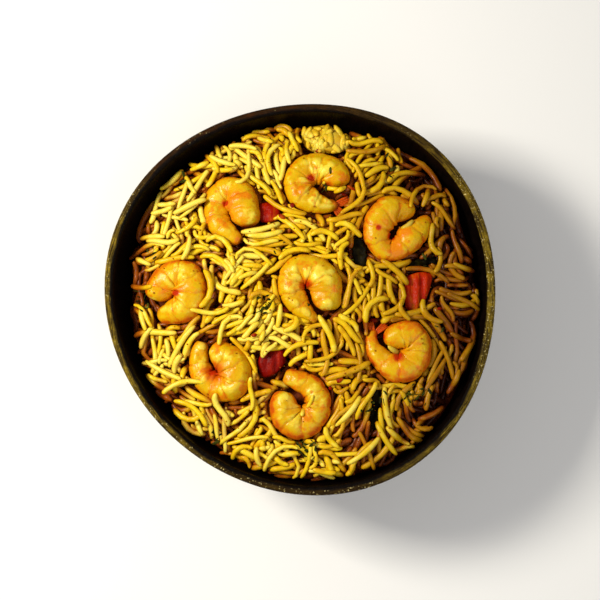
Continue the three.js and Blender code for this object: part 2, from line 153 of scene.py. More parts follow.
class SmoothPath:
    """A smooth curve through points, measured along its length."""

    def __init__(self, points: Sequence[Sequence[float]], steps: int = 40) -> None:
        """Lays the curve through its points.

        Args:
            points: Points with any number of columns.
            steps: Samples between two neighbouring points.
        """
        rows = np.asarray(points, dtype=float)
        rows = np.vstack([2 * rows[0] - rows[1], rows, 2 * rows[-1] - rows[-2]])
        gaps = np.maximum(np.linalg.norm(np.diff(rows[:, :2], axis=0), axis=1), 1e-6) ** 0.5
        samples: list[Array] = []
        for k in range(1, len(rows) - 2):
            before, span, after = gaps[k - 1], gaps[k], gaps[k + 1]
            start = (rows[k] - rows[k - 1]) / before - (rows[k + 1] - rows[k - 1]) / (before + span)
            start = (start + (rows[k + 1] - rows[k]) / span) * span
            end = (rows[k + 1] - rows[k]) / span - (rows[k + 2] - rows[k]) / (span + after)
            end = (end + (rows[k + 2] - rows[k + 1]) / after) * span
            for t in np.linspace(0.0, 1.0, steps, endpoint=k == len(rows) - 3):
                a, b = 2 * t**3 - 3 * t**2 + 1, t**3 - 2 * t**2 + t
                c, d = -2 * t**3 + 3 * t**2, t**3 - t**2
                samples.append(a * rows[k] + b * start + c * rows[k + 1] + d * end)
        self.rows = np.array(samples)
        travel = np.linalg.norm(np.diff(self.rows[:, :3], axis=0), axis=1)
        self.travel = np.concatenate([[0.0], np.cumsum(travel)])
        self.length = float(self.travel[-1])

    def at(self, t: Array) -> Array:
        """Gives the rows of the curve at shares of its length."""
        place = np.asarray(t) * self.length
        return np.stack([np.interp(place, self.travel, column) for column in self.rows.T], axis=-1)

    def heading(self, t: Array) -> Array:
        """Gives the unit directions along the curve at shares of its length.

        Args:
            t: Shares of the length.

        Returns:
            One direction for each share.
        """
        t = np.asarray(t)
        step = self.at(np.minimum(1.0, t + 0.01))[..., :3] - self.at(np.maximum(0.0, t - 0.01))[..., :3]
        return step / np.linalg.norm(step, axis=-1, keepdims=True)


# ---------- finishes
class NodeKit:
    """Builds one material's nodes."""

    def __init__(self, name: str) -> None:
        """Starts a material with a surface shader.

        Args:
            name: The material's name.
        """
        self.material = bpy.data.materials.new(name)
        self.material.use_nodes = True
        self.tree = self.material.node_tree
        self.tree.nodes.clear()
        self.shader = self.tree.nodes.new("ShaderNodeBsdfPrincipled")
        output = self.tree.nodes.new("ShaderNodeOutputMaterial")
        self.tree.links.new(self.shader.outputs["BSDF"], output.inputs["Surface"])
        self.coords = self.tree.nodes.new("ShaderNodeTexCoord").outputs["Object"]

    def plug(self, socket: Socket, value: object) -> None:
        """Links a socket to another, or sets its value.

        Args:
            socket: The input to fill.
            value: A socket, a number, a vector or a colour.
        """
        if isinstance(value, Socket):
            self.tree.links.new(value, socket)
        elif isinstance(value, tuple) and len(value) == 3 and socket.type == "RGBA":
            socket.default_value = (*value, 1.0)
        else:
            socket.default_value = value

    def surface(self, **values: object) -> None:
        """Sets the shader's sockets by name, with underscores for spaces."""
        for name, value in values.items():
            self.plug(self.shader.inputs[name.replace("_", " ")], value)

    def attribute(self, name: Attribute) -> Socket:
        """Gives a float attribute of the piece.

        Args:
            name: Which attribute.

        Returns:
            Its value socket.
        """
        node = self.tree.nodes.new("ShaderNodeAttribute")
        node.attribute_name = name.value
        return node.outputs["Fac"]

    def scaled(self, vector: Socket, scale: Triple) -> Socket:
        """Stretches coordinates along the three axes.

        Args:
            vector: The coordinates.
            scale: Stretch along X, Y and Z.

        Returns:
            The new coordinates.
        """
        node = self.tree.nodes.new("ShaderNodeMapping")
        self.plug(node.inputs["Vector"], vector)
        node.inputs["Scale"].default_value = scale
        return node.outputs["Vector"]

    def noise(
        self, scale: float, detail: float = 3.0, rough: float = 0.55, vector: object = None
    ) -> Socket:
        """Adds a noise pattern.

        Args:
            scale: Size of the pattern, in waves a metre of object space.
            detail: Number of finer layers.
            rough: Strength of the finer layers.
            vector: Coordinates, or None for the object's own.

        Returns:
            The pattern's value socket.
        """
        node = self.tree.nodes.new("ShaderNodeTexNoise")
        self.plug(node.inputs["Vector"], self.coords if vector is None else vector)
        for name, value in (("Scale", scale), ("Detail", detail), ("Roughness", rough)):
            node.inputs[name].default_value = value
        return node.outputs["Fac"]

    def cells(self, scale: float) -> Socket:
        """Adds a cell pattern that gives the distance to the nearest cell's middle.

        Args:
            scale: Cells a metre.

        Returns:
            The distance socket.
        """
        node = self.tree.nodes.new("ShaderNodeTexVoronoi")
        self.plug(node.inputs["Vector"], self.coords)
        node.inputs["Scale"].default_value = scale
        return node.outputs["Distance"]

    def ramp(self, value: Socket, stops: Sequence[tuple[float, Colour]]) -> Socket:
        """Turns a value into a colour.

        Args:
            value: The value socket.
            stops: Places from 0 to 1 with their colours.

        Returns:
            The colour socket.
        """
        node = self.tree.nodes.new("ShaderNodeValToRGB")
        ramp = node.color_ramp
        while len(ramp.elements) < len(stops):
            ramp.elements.new(0.5)
        for element, (place, colour) in zip(ramp.elements, stops):
            element.position = place
            element.color = (*colour, 1.0)
        self.plug(node.inputs["Fac"], value)
        return node.outputs["Color"]

    def level(self, value: Socket, low: float, high: float, to: Pair = (0.0, 1.0)) -> Socket:
        """Maps a value from one range to another, held inside it.

        Args:
            value: The value socket.
            low: Start of its range.
            high: End of its range.
            to: The new range.

        Returns:
            The mapped value socket.
        """
        node = self.tree.nodes.new("ShaderNodeMapRange")
        node.clamp = True
        self.plug(node.inputs["Value"], value)
        for name, number in (("From Min", low), ("From Max", high), ("To Min", to[0]), ("To Max", to[1])):
            node.inputs[name].default_value = number
        return node.outputs["Result"]

    def math(self, kind: str, first: object, second: object = 0.0) -> Socket:
        """Combines two values by an operation such as ADD or MULTIPLY.

        Args:
            kind: The operation.
            first: First value or socket.
            second: Second value or socket.

        Returns:
            The result's socket.
        """
        node = self.tree.nodes.new("ShaderNodeMath")
        node.operation = kind
        self.plug(node.inputs[0], first)
        self.plug(node.inputs[1], second)
        return node.outputs["Value"]

    def times(self, first: object, second: object) -> Socket:
        """Multiplies two values."""
        return self.math("MULTIPLY", first, second)

    def plus(self, first: object, second: object) -> Socket:
        """Adds two values."""
        return self.math("ADD", first, second)

    def mix(self, share: object, first: object, second: object, blend: str = "MIX") -> Socket:
        """Mixes two colours.

        Args:
            share: Share of the second, from 0 to 1.
            first: First colour or socket.
            second: Second colour or socket.
            blend: Blend mode.

        Returns:
            The colour socket.
        """
        node = self.tree.nodes.new("ShaderNodeMix")
        node.data_type = "RGBA"
        node.blend_type = blend
        self.plug(node.inputs["Factor"], share)
        self.plug(next(s for s in node.inputs if s.name == "A" and s.type == "RGBA"), first)
        self.plug(next(s for s in node.inputs if s.name == "B" and s.type == "RGBA"), second)
        return next(s for s in node.outputs if s.type == "RGBA")

    def bump(self, height: Socket, depth: float, strength: float = 1.0) -> None:
        """Adds relief to the surface, with its depth in metres.

        Args:
            height: The pattern.
            depth: Depth in metres.
            strength: Share of the full effect.
        """
        node = self.tree.nodes.new("ShaderNodeBump")
        node.inputs["Strength"].default_value = strength
        node.inputs["Distance"].default_value = depth
        self.plug(node.inputs["Height"], height)
        self.plug(self.shader.inputs["Normal"], node.outputs["Normal"])

    def facing(self) -> Socket:
        """Gives how far the surface turns away from sight, from 0 to 1.

        Returns:
            The value socket.
        """
        node = self.tree.nodes.new("ShaderNodeLayerWeight")
        node.inputs["Blend"].default_value = 0.5
        return node.outputs["Facing"]

    def axes(self) -> bpy.types.Node:
        """Splits the object's coordinates into X, Y and Z.

        Returns:
            The node that splits them.
        """
        node = self.tree.nodes.new("ShaderNodeSeparateXYZ")
        self.plug(node.inputs["Vector"], self.coords)
        return node

    def joined(self, x: object, y: object, z: object) -> Socket:
        """Makes coordinates from three values.

        Args:
            x: First value or socket.
            y: Second one.
            z: Third one.

        Returns:
            The coordinates' socket.
        """
        node = self.tree.nodes.new("ShaderNodeCombineXYZ")
        for socket, value in zip(node.inputs, (x, y, z)):
            self.plug(socket, value)
        return node.outputs["Vector"]


@dataclass(frozen=True)
class GrainFinish:
    """Moist turmeric rice: pale to golden along its tones. Painted shade turns the sides facing away from
    sight orange, grains deep in the heap orange to reddish brown, and the right side darker, black where it
    lies deep.
    """

    name: str = "turmeric_rice"
    pale: Colour = (0.86, 0.70, 0.095)
    lemon: Colour = (0.82, 0.57, 0.008)
    golden: Colour = (0.68, 0.375, 0.003)
    amber: Colour = (0.40, 0.155, 0.002)
    # the next five colours are painted shade, not the rice's own: sides turning from sight, grains deep in
    # the heap and the darker right side
    edge: Colour = (0.66, 0.37, 0.006)
    painted_shade_orange: Colour = (0.39, 0.098, 0.0015)
    deep: Colour = (0.19, 0.036, 0.002)
    black: Colour = (0.022, 0.003, 0.0006)
    shade: Colour = (0.52, 0.43, 0.36)
    roughness: float = 0.32
    glow: float = 0.26

    def build(self) -> Material:
        """Makes the material.

        Returns:
            The finished material.
        """
        kit = NodeKit(self.name)
        blotch = kit.noise(260.0, 3.0)
        tone = kit.plus(kit.attribute(Attribute.TONE), kit.level(blotch, 0.3, 0.7, (-0.2, 0.2)))
        colour = kit.ramp(tone, ((0.0, self.pale), (0.3, self.lemon), (0.6, self.golden), (1.0, self.amber)))
        # painted shade: the sides of a grain that turn from sight go orange, then darker orange
        facing = kit.facing()
        colour = kit.mix(kit.level(facing, 0.12, 0.6, (0.0, 0.6)), colour, self.edge)
        colour = kit.mix(kit.level(facing, 0.5, 1.0, (0.0, 0.65)), colour, self.painted_shade_orange)
        # painted shade: the deeper a point lies in the heap, the more orange and then dark reddish brown it
        # is painted
        sunk = kit.plus(kit.attribute(Attribute.DEPTH), kit.level(blotch, 0.35, 0.65, (0.07, -0.07)))
        orange = kit.mix(kit.level(sunk, 0.12, 0.5), colour, self.painted_shade_orange)
        colour = kit.mix(kit.level(sunk, 0.42, 0.85), orange, self.deep)
        # painted shade: darker to the right, away from the key light, and black where a point there also lies
        # deep
        painted_right_shade = kit.level(kit.axes().outputs["X"], 0.012, 0.05, (0.0, 1.0))
        colour = kit.mix(painted_right_shade, colour, self.shade, "MULTIPLY")
        painted_deep_right_shade = kit.times(painted_right_shade, kit.level(sunk, 0.5, 0.9, (0.0, 0.85)))
        colour = kit.mix(painted_deep_right_shade, colour, self.black)
        rough = kit.level(kit.noise(900.0, 2.0), 0.3, 0.7, (self.roughness - 0.1, self.roughness + 0.1))
        kit.surface(
            Base_Color=colour,
            Roughness=rough,
            Specular_IOR_Level=0.16,
            Subsurface_Weight=self.glow,
            Subsurface_Radius=(0.9, 0.5, 0.08),
            Subsurface_Scale=0.0012,
        )
        kit.bump(kit.noise(1500.0, 3.0), 0.00008, 0.7)
        return kit.material


@dataclass(frozen=True)
class BedFinish:
    """Masala rice under the loose grains, seen only in the gaps, painted dark reddish brown as painted shade
    for the gaps.
    """

    name: str = "masala_bed"
    # painted shade: these dark colours stand for the shade in the gaps between the loose grains
    light: Colour = (0.38, 0.11, 0.003)
    middle: Colour = (0.16, 0.024, 0.0015)
    dark: Colour = (0.055, 0.006, 0.001)

    def build(self) -> Material:
        """Makes the material.

        Returns:
            The finished material.
        """
        kit = NodeKit(self.name)
        grains = kit.noise(420.0, 4.0, 0.6, kit.scaled(kit.coords, (1.0, 0.55, 1.0)))
        colour = kit.ramp(grains, ((0.3, self.dark), (0.58, self.middle), (0.8, self.light)))
        kit.surface(Base_Color=colour, Roughness=0.5, Specular_IOR_Level=0.05)
        kit.bump(grains, 0.0007, 0.9)
        return kit.material


@dataclass(frozen=True)
class ShrimpFinish:
    """Cooked shrimp: yellow-orange flesh, orange-red back and creases, painted highlights on the belly's
    knobs with painted shade between them, and orange painted shade at the edges turning from sight.
    """

    name: str = "cooked_shrimp"
    flesh: Colour = (0.66, 0.40, 0.002)
    pale: Colour = (0.82, 0.65, 0.06)
    orange: Colour = (0.70, 0.21, 0.001)
    red: Colour = (0.52, 0.06, 0.003)
    fin: Colour = (0.58, 0.075, 0.002)
    crease: Colour = (0.58, 0.105, 0.002)
    stain: Colour = (0.44, 0.022, 0.001)

    def build(self) -> Material:
        """Makes the material.

        Returns:
            The finished material.
        """
        kit = NodeKit(self.name)
        patch = kit.noise(170.0, 4.0, 0.6)
        stops = ((0.36, self.orange), (0.45, self.flesh), (0.6, self.flesh), (0.7, self.pale))
        colour = kit.ramp(patch, stops)
        # painted highlight on the knobs, and painted shade between them on the belly
        knob = kit.times(kit.attribute(Attribute.KNOB_HIGHLIGHT), kit.level(patch, 0.36, 0.6, (0.15, 1.0)))
        between = kit.times(kit.attribute(Attribute.BELLY), kit.level(knob, 0.0, 0.3, (0.5, 0.0)))
        colour = kit.mix(between, colour, self.orange)
        colour = kit.mix(kit.level(knob, 0.1, 1.0), colour, self.pale)
        spots = kit.level(kit.noise(330.0, 3.0, 0.5), 0.58, 0.68, (0.0, 0.85))
        colour = kit.mix(spots, colour, self.orange)
        back = kit.attribute(Attribute.BACK)
        mottle = kit.times(back, kit.level(kit.noise(420.0, 3.0), 0.32, 0.6, (0.5, 1.2)))
        colour = kit.mix(kit.level(mottle, 0.2, 0.75, (0.0, 0.85)), colour, self.orange)
        colour = kit.mix(kit.level(mottle, 0.6, 1.0, (0.0, 0.85)), colour, self.red)
        groove = kit.times(kit.attribute(Attribute.GROOVE), kit.level(patch, 0.35, 0.6, (1.2, 0.5)))
        colour = kit.mix(kit.level(groove, 0.15, 0.8, (0.0, 0.85)), colour, self.crease)
        # painted shade: edges that turn from sight go orange
        colour = kit.mix(kit.level(kit.facing(), 0.4, 1.0, (0.0, 0.55)), colour, self.orange)
        juice = kit.times(kit.attribute(Attribute.STAIN), kit.level(patch, 0.3, 0.6, (1.4, 0.7)))
        colour = kit.mix(kit.level(juice, 0.12, 0.42), colour, self.orange)
        colour = kit.mix(kit.level(juice, 0.3, 0.72), colour, self.stain)
        colour = kit.mix(kit.attribute(Attribute.FIN), colour, self.fin)
        kit.surface(
            Base_Color=colour,
            Roughness=kit.level(kit.noise(500.0, 3.0), 0.3, 0.7, (0.2, 0.36)),
            Specular_IOR_Level=0.2,
            Subsurface_Weight=0.2,
            Subsurface_Radius=(1.0, 0.4, 0.04),
            Subsurface_Scale=0.0016,
        )
        fine = kit.plus(kit.noise(600.0, 3.0, 0.55), kit.times(kit.cells(850.0), -0.25))
        kit.bump(fine, 0.00022, 0.9)
        return kit.material


@dataclass(frozen=True)
class TomatoFinish:
    """Cooked tomato: translucent red with paler veins running down the piece."""

    name: str
    body: Colour
    vein: Colour
    dark: Colour

    def build(self) -> Material:
        """Makes the material.

        Returns:
            The finished material.
        """
        kit = NodeKit(self.name)
        streak = kit.noise(210.0, 4.0, 0.6, kit.scaled(kit.coords, (2.4, 0.5, 1.0)))
        colour = kit.ramp(streak, ((0.3, self.dark), (0.5, self.body), (0.68, self.vein)))
        kit.surface(
            Base_Color=colour,
            Roughness=kit.level(streak, 0.3, 0.7, (0.28, 0.46)),
            Specular_IOR_Level=0.08,
            Subsurface_Weight=0.1,
            Subsurface_Radius=(1.0, 0.15, 0.02),
            Subsurface_Scale=0.0015,
        )
        kit.bump(kit.plus(streak, kit.noise(700.0, 3.0)), 0.0005, 0.8)
        return kit.material


@dataclass(frozen=True)
class LeafFinish:
    """Wilted herb leaf: almost black green, lighter on its veins and wet."""

    name: str = "wilted_herb"
    dark: Colour = (0.004, 0.003, 0.0008)
    green: Colour = (0.011, 0.008, 0.001)
    light: Colour = (0.034, 0.030, 0.003)

    def build(self) -> Material:
        """Makes the material.

        Returns:
            The finished material.
        """
        kit = NodeKit(self.name)
        vein = kit.noise(520.0, 4.0, 0.65)
        colour = kit.ramp(vein, ((0.4, self.dark), (0.58, self.green), (0.78, self.light)))
        kit.surface(Base_Color=colour, Roughness=0.5, Specular_IOR_Level=0.05)
        kit.bump(vein, 0.0003, 0.8)
        return kit.material


@dataclass(frozen=True)
class ShellFinish:
    """Polished coconut shell: dark fibrous brown outside, a worn olive-brown lip whose olive is brightened as
    painted light where it lies in shade, and the inside painted near black as painted shade.
    """

    name: str = "coconut_shell"
    dark: Colour = (0.010, 0.004, 0.0015)
    brown: Colour = (0.050, 0.020, 0.006)
    fibre: Colour = (0.22, 0.115, 0.035)
    # olive is the lip's own colour, made brighter as painted light where the lip lies in shade
    olive: Colour = (0.27, 0.18, 0.013)
    russet: Colour = (0.048, 0.014, 0.002)
    umber: Colour = (0.058, 0.032, 0.004)
    speck: Colour = (0.62, 0.50, 0.20)
    tan: Colour = (0.1, 0.045, 0.015)
    ring_line: Colour = (0.012, 0.006, 0.002)
    scuff: Colour = (0.020, 0.010, 0.003)
    # painted shade: the two colours of the inner wall
    inside_shade_dark: Colour = (0.002, 0.001, 0.0007)
    inside_shade_brown: Colour = (0.010, 0.004, 0.002)

    def build(self) -> Material:
        """Makes the material.

        Returns:
            The finished material.
        """
        kit = NodeKit(self.name)
        axes = kit.axes()
        x, y, z = (axes.outputs[name] for name in "XYZ")
        flat = kit.math("SQRT", kit.plus(kit.times(x, x), kit.times(y, y)))
        ring_x, ring_y = kit.math("DIVIDE", x, flat), kit.math("DIVIDE", y, flat)
        fibres = kit.noise(34.0, 5.0, 0.65, kit.joined(ring_x, ring_y, kit.times(z, 5.0)))
        streaks = kit.noise(9.0, 4.0, 0.6, kit.joined(ring_x, ring_y, kit.times(z, 9.0)))
        side = kit.ramp(fibres, ((0.32, self.dark), (0.5, self.brown), (0.66, self.tan), (0.8, self.fibre)))
        side = kit.mix(kit.level(streaks, 0.35, 0.65, (0.75, 0.0)), side, self.dark, "MULTIPLY")
        # the lip's colour changes round the rim; its olive is brightened as painted light for the right side,
        # which lies in shade
        around = kit.level(kit.math("ARCTAN2", y, x), -math.pi, math.pi)
        lip = kit.ramp(around, (
            (0.0, self.olive), (0.10, self.olive), (0.19, self.umber), (0.30, self.umber),
            (0.38, self.olive), (0.56, self.olive), (0.68, self.umber), (0.76, self.russet),
            (0.88, self.russet), (0.96, self.olive),
        ))
        turned = kit.joined(kit.times(flat, 3000.0), kit.times(ring_x, 9.0), kit.times(ring_y, 9.0))
        rings = kit.noise(1.0, 5.0, 0.7, turned)
        worn = kit.noise(260.0, 4.0, 0.7)
        lip = kit.mix(kit.level(rings, 0.44, 0.52, (0.9, 0.0)), lip, self.ring_line)
        lip = kit.mix(kit.level(worn, 0.45, 0.6, (0.6, 0.0)), lip, self.scuff)
        patch = kit.noise(60.0, 3.0)
        specks = kit.times(kit.level(kit.noise(1300.0, 3.0), 0.6, 0.68), kit.level(patch, 0.46, 0.6))
        lip = kit.mix(specks, lip, self.speck)
        rim = kit.attribute(Attribute.RIM)
        # painted shade: the inner wall is painted near black and dark brown
        inside = kit.mix(kit.level(fibres, 0.4, 0.8, (0.0, 0.5)), self.inside_shade_dark, self.inside_shade_brown)
        colour = kit.mix(kit.level(rim, 0.15, 0.24), side, lip)
        edge = kit.plus(rim, kit.level(kit.noise(120.0, 3.0), 0.3, 0.7, (-0.06, 0.06)))
        # the painted inside shade starts lower on the right, where the key light reaches into the bowl
        lit_right_side = kit.times(kit.level(x, 0.0, 0.05, (0.0, 0.2)), kit.level(y, -0.036, -0.012))
        edge = kit.math("SUBTRACT", edge, lit_right_side)
        colour = kit.mix(kit.level(edge, 0.46, 0.56), colour, inside)
        kit.surface(
            Base_Color=colour, Roughness=kit.level(fibres, 0.3, 0.75, (0.38, 0.6)), Specular_IOR_Level=0.05,
        )
        relief = kit.plus(kit.times(rings, kit.level(rim, 0.05, 0.3)), fibres)
        kit.bump(relief, 0.0004, 0.9)
        return kit.material


@dataclass(frozen=True)
class FloorFinish:
    """Plain white floor."""

    name: str = "pale_floor"
    dull: Colour = (0.93, 0.93, 0.93)
    bright: Colour = (0.95, 0.95, 0.95)

    def build(self) -> Material:
        """Makes the material.

        Returns:
            The finished material.
        """
        kit = NodeKit(self.name)
        soft = kit.noise(3.0, 2.0)
        kit.surface(Base_Color=kit.ramp(soft, ((0.3, self.dull), (0.7, self.bright))), Roughness=0.9)
        return kit.material


# ---------- making pieces
def add_piece(
    name: str, made: Shape | bpy.types.Mesh, material: Material, nodes: Sequence[str] = ()
) -> Piece:
    """Puts a finished shape in the scene as a smooth piece that rides on the bowl.

    Args:
        name: The piece's name.
        made: A bmesh, which is freed, or a mesh.
        material: The finish.
        nodes: CAD nodes that the piece stands for.

    Returns:
        The new object.
    """
    data = made
    if isinstance(made, Shape):
        data = bpy.data.meshes.new(name)
        made.to_mesh(data)
        made.free()
    data.polygons.foreach_set("use_smooth", np.ones(len(data.polygons), dtype=bool))
    data.materials.append(material)
    piece = bpy.data.objects.new(name, data)
    bpy.context.scene.collection.objects.link(piece)
    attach(piece, "root")
    if nodes:
        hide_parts(*nodes)
    LOG.info("%s: %d vertices, %d faces", name, len(data.vertices), len(data.polygons))
    return piece


def write_attribute(mesh: Shape, name: Attribute, values: Array) -> None:
    """Stores one float for each vertex of a bmesh.

    Args:
        mesh: The bmesh.
        name: The attribute.
        values: Its value at each vertex.
    """
    layer = mesh.verts.layers.float.get(name.value) or mesh.verts.layers.float.new(name.value)
    for vertex, value in zip(mesh.verts, values):
        vertex[layer] = float(value)


def read_places(mesh: Shape) -> Array:
    """Gives the vertices' places as an array."""
    return np.array([vertex.co[:] for vertex in mesh.verts])


def write_places(mesh: Shape, places: Array) -> None:
    """Moves the vertices of a bmesh to new places."""
    for vertex, place in zip(mesh.verts, places):
        vertex.co = place


def ball(columns: int, rows: int) -> Shape:
    """Makes a unit ball with its poles on Z.

    Args:
        columns: Divisions round it.
        rows: Divisions from pole to pole.

    Returns:
        The bmesh.
    """
    mesh = bmesh.new()
    bmesh.ops.create_uvsphere(mesh, u_segments=columns, v_segments=rows, radius=1.0)
    return mesh


def spin_section(section: Sequence[Sequence[float]], turns: int, gap: float) -> Shape:
    """Spins a section about Z into a closed shape.

    Args:
        section: Points of the section in the XZ plane.
        turns: Steps round the axis.
        gap: Distance under which points are merged.

    Returns:
        The bmesh.
    """
    mesh = bmesh.new()
    points = [mesh.verts.new(point) for point in section]
    edges = [mesh.edges.new(pair) for pair in zip(points, points[1:])]
    bmesh.ops.spin(
        mesh, geom=points + edges, cent=(0, 0, 0), axis=(0, 0, 1), angle=2 * math.pi, steps=turns,
        use_merge=True,
    )
    bmesh.ops.remove_doubles(mesh, verts=mesh.verts, dist=gap)
    return mesh


def settle_on_node(places: Array, node: str) -> Array:
    """Moves a piece up or down onto its CAD node's lowest level and keeps its top under the node's.

    Args:
        places: The piece's points in millimetres.
        node: The CAD node that it stands for.

    Returns:
        The moved points.
    """
    low, high = (float(corner[2]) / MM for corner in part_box(node))
    rise = places[:, 2] - places[:, 2].min()
    settled = places.copy()
    settled[:, 2] = low + rise * min(1.0, (high - low - 0.02) / float(rise.max()))
    return settled


def near_spots(x: Array, y: Array, spots: Sequence[Triple]) -> Array:
    """Gives how near places are to the middles of round spots of x, y and radius, from 0 to 1.

    Args:
        x: Places to the right.
        y: Places away from the viewer.
        spots: Middle and radius of each spot.

    Returns:
        1 in the middle of a spot, falling to 0 outside it.
    """
    rows = np.array(spots, dtype=float)
    x, y = np.asarray(x), np.asarray(y)
    off = (x[..., None] - rows[:, 0]) ** 2 + (y[..., None] - rows[:, 1]) ** 2
    return held(np.exp(-off / (2 * (rows[:, 2] * SPOT_SPREAD) ** 2)).sum(-1))


def ripple(x: Array, y: Array, size: float, seed: float) -> Array:
    """Gives soft uneven waves of about a size in millimetres, from -1 to 1.

    Args:
        x: Places to the right.
        y: Places away from the viewer.
        size: Size of the waves.
        seed: Shifts the pattern.

    Returns:
        The pattern's height at each place.
    """
    a = np.sin(x / size + seed + 1.7 * np.sin(y / (size * 1.3) + seed * 0.7))
    b = np.cos(y / (size * 0.83) - seed + 1.3 * np.sin(x / (size * 1.6) + 2.0 * seed))
    return 0.5 * (a + b * np.cos(x / (size * 2.1) + y / (size * 1.9)))


# ---------- bowl
@dataclass
class CoconutBowl:
    """The half coconut shell."""

    form: ShellForm
    finish: ShellFinish = field(default_factory=ShellFinish)
    turns: int = 144
    side_steps: int = 20
    lip_steps: int = 8
    room: float = 0.998
    unevenness: float = 0.12
    inner_bottom: float = 2.9

    def profile(self) -> list[Vector]:
        """Gives the section from the base round the lip to the inner bottom.

        Returns:
            Points of the section in the XZ plane.
        """
        form = self.form
        low = math.asin(form.rim_z / form.depth)
        outer = [
            Vector((form.radius * math.cos(a), 0.0, form.rim_z - form.depth * math.sin(a)))
            for a in np.linspace(low, 0.0, self.side_steps)
        ]
        middle, half = (form.radius + form.inner_radius) / 2, (form.radius - form.inner_radius) / 2
        lip = [
            Vector((middle + half * math.cos(a), 0.0, form.rim_z + form.lip_rise * math.sin(a) ** 0.7))
            for a in np.linspace(0.0, math.pi, self.lip_steps + 2)[1:-1]
        ]
        inner = [
            Vector((form.inner_radius * math.cos(a), 0.0, form.rim_z - form.inner_depth * math.sin(a)))
            for a in np.linspace(0.0, math.pi / 2, self.side_steps)
        ]
        inner[-1].x = 0.0
        return [Vector((0.0, 0.0, 0.0)), *outer, *lip, *inner]

    def build(self) -> Piece:
        """Spins the section into the lobed shell.

        Returns:
            The finished piece.
        """
        form = self.form
        mesh = spin_section(self.profile(), self.turns, 1e-4)
        places = read_places(mesh)
        angle, distance = np.arctan2(places[:, 1], places[:, 0]), np.hypot(places[:, 0], places[:, 1])
        inside = np.abs(distance - form.wall_radius(np.minimum(places[:, 2], form.rim_z))) < 0.05
        inside &= places[:, 2] > self.inner_bottom
        inward = (form.radius - distance) / (form.radius - form.inner_radius)
        # rim is 1 on the inner wall, which the finish paints dark as painted shade
        rim = np.where(places[:, 2] > form.rim_z + 0.02, 0.25 + 0.45 * inward, np.where(inside, 1.0, 0.0))
        scale = form.lobe(angle) * self.room
        on_lip = places[:, 2] > form.rim_z + 0.3
        uneven = self.unevenness * ripple(places[:, 0], places[:, 1], 4.0, 1.0) * on_lip
        places = np.column_stack([
            places[:, 0] * scale + form.axis_x, places[:, 1] * scale + form.axis_y, places[:, 2] + uneven,
        ])
        write_places(mesh, places * MM)
        write_attribute(mesh, Attribute.RIM, rim)
        bmesh.ops.recalc_face_normals(mesh, faces=mesh.faces)
        return add_piece("shell_bowl", mesh, self.finish.build(), ["bowl"])


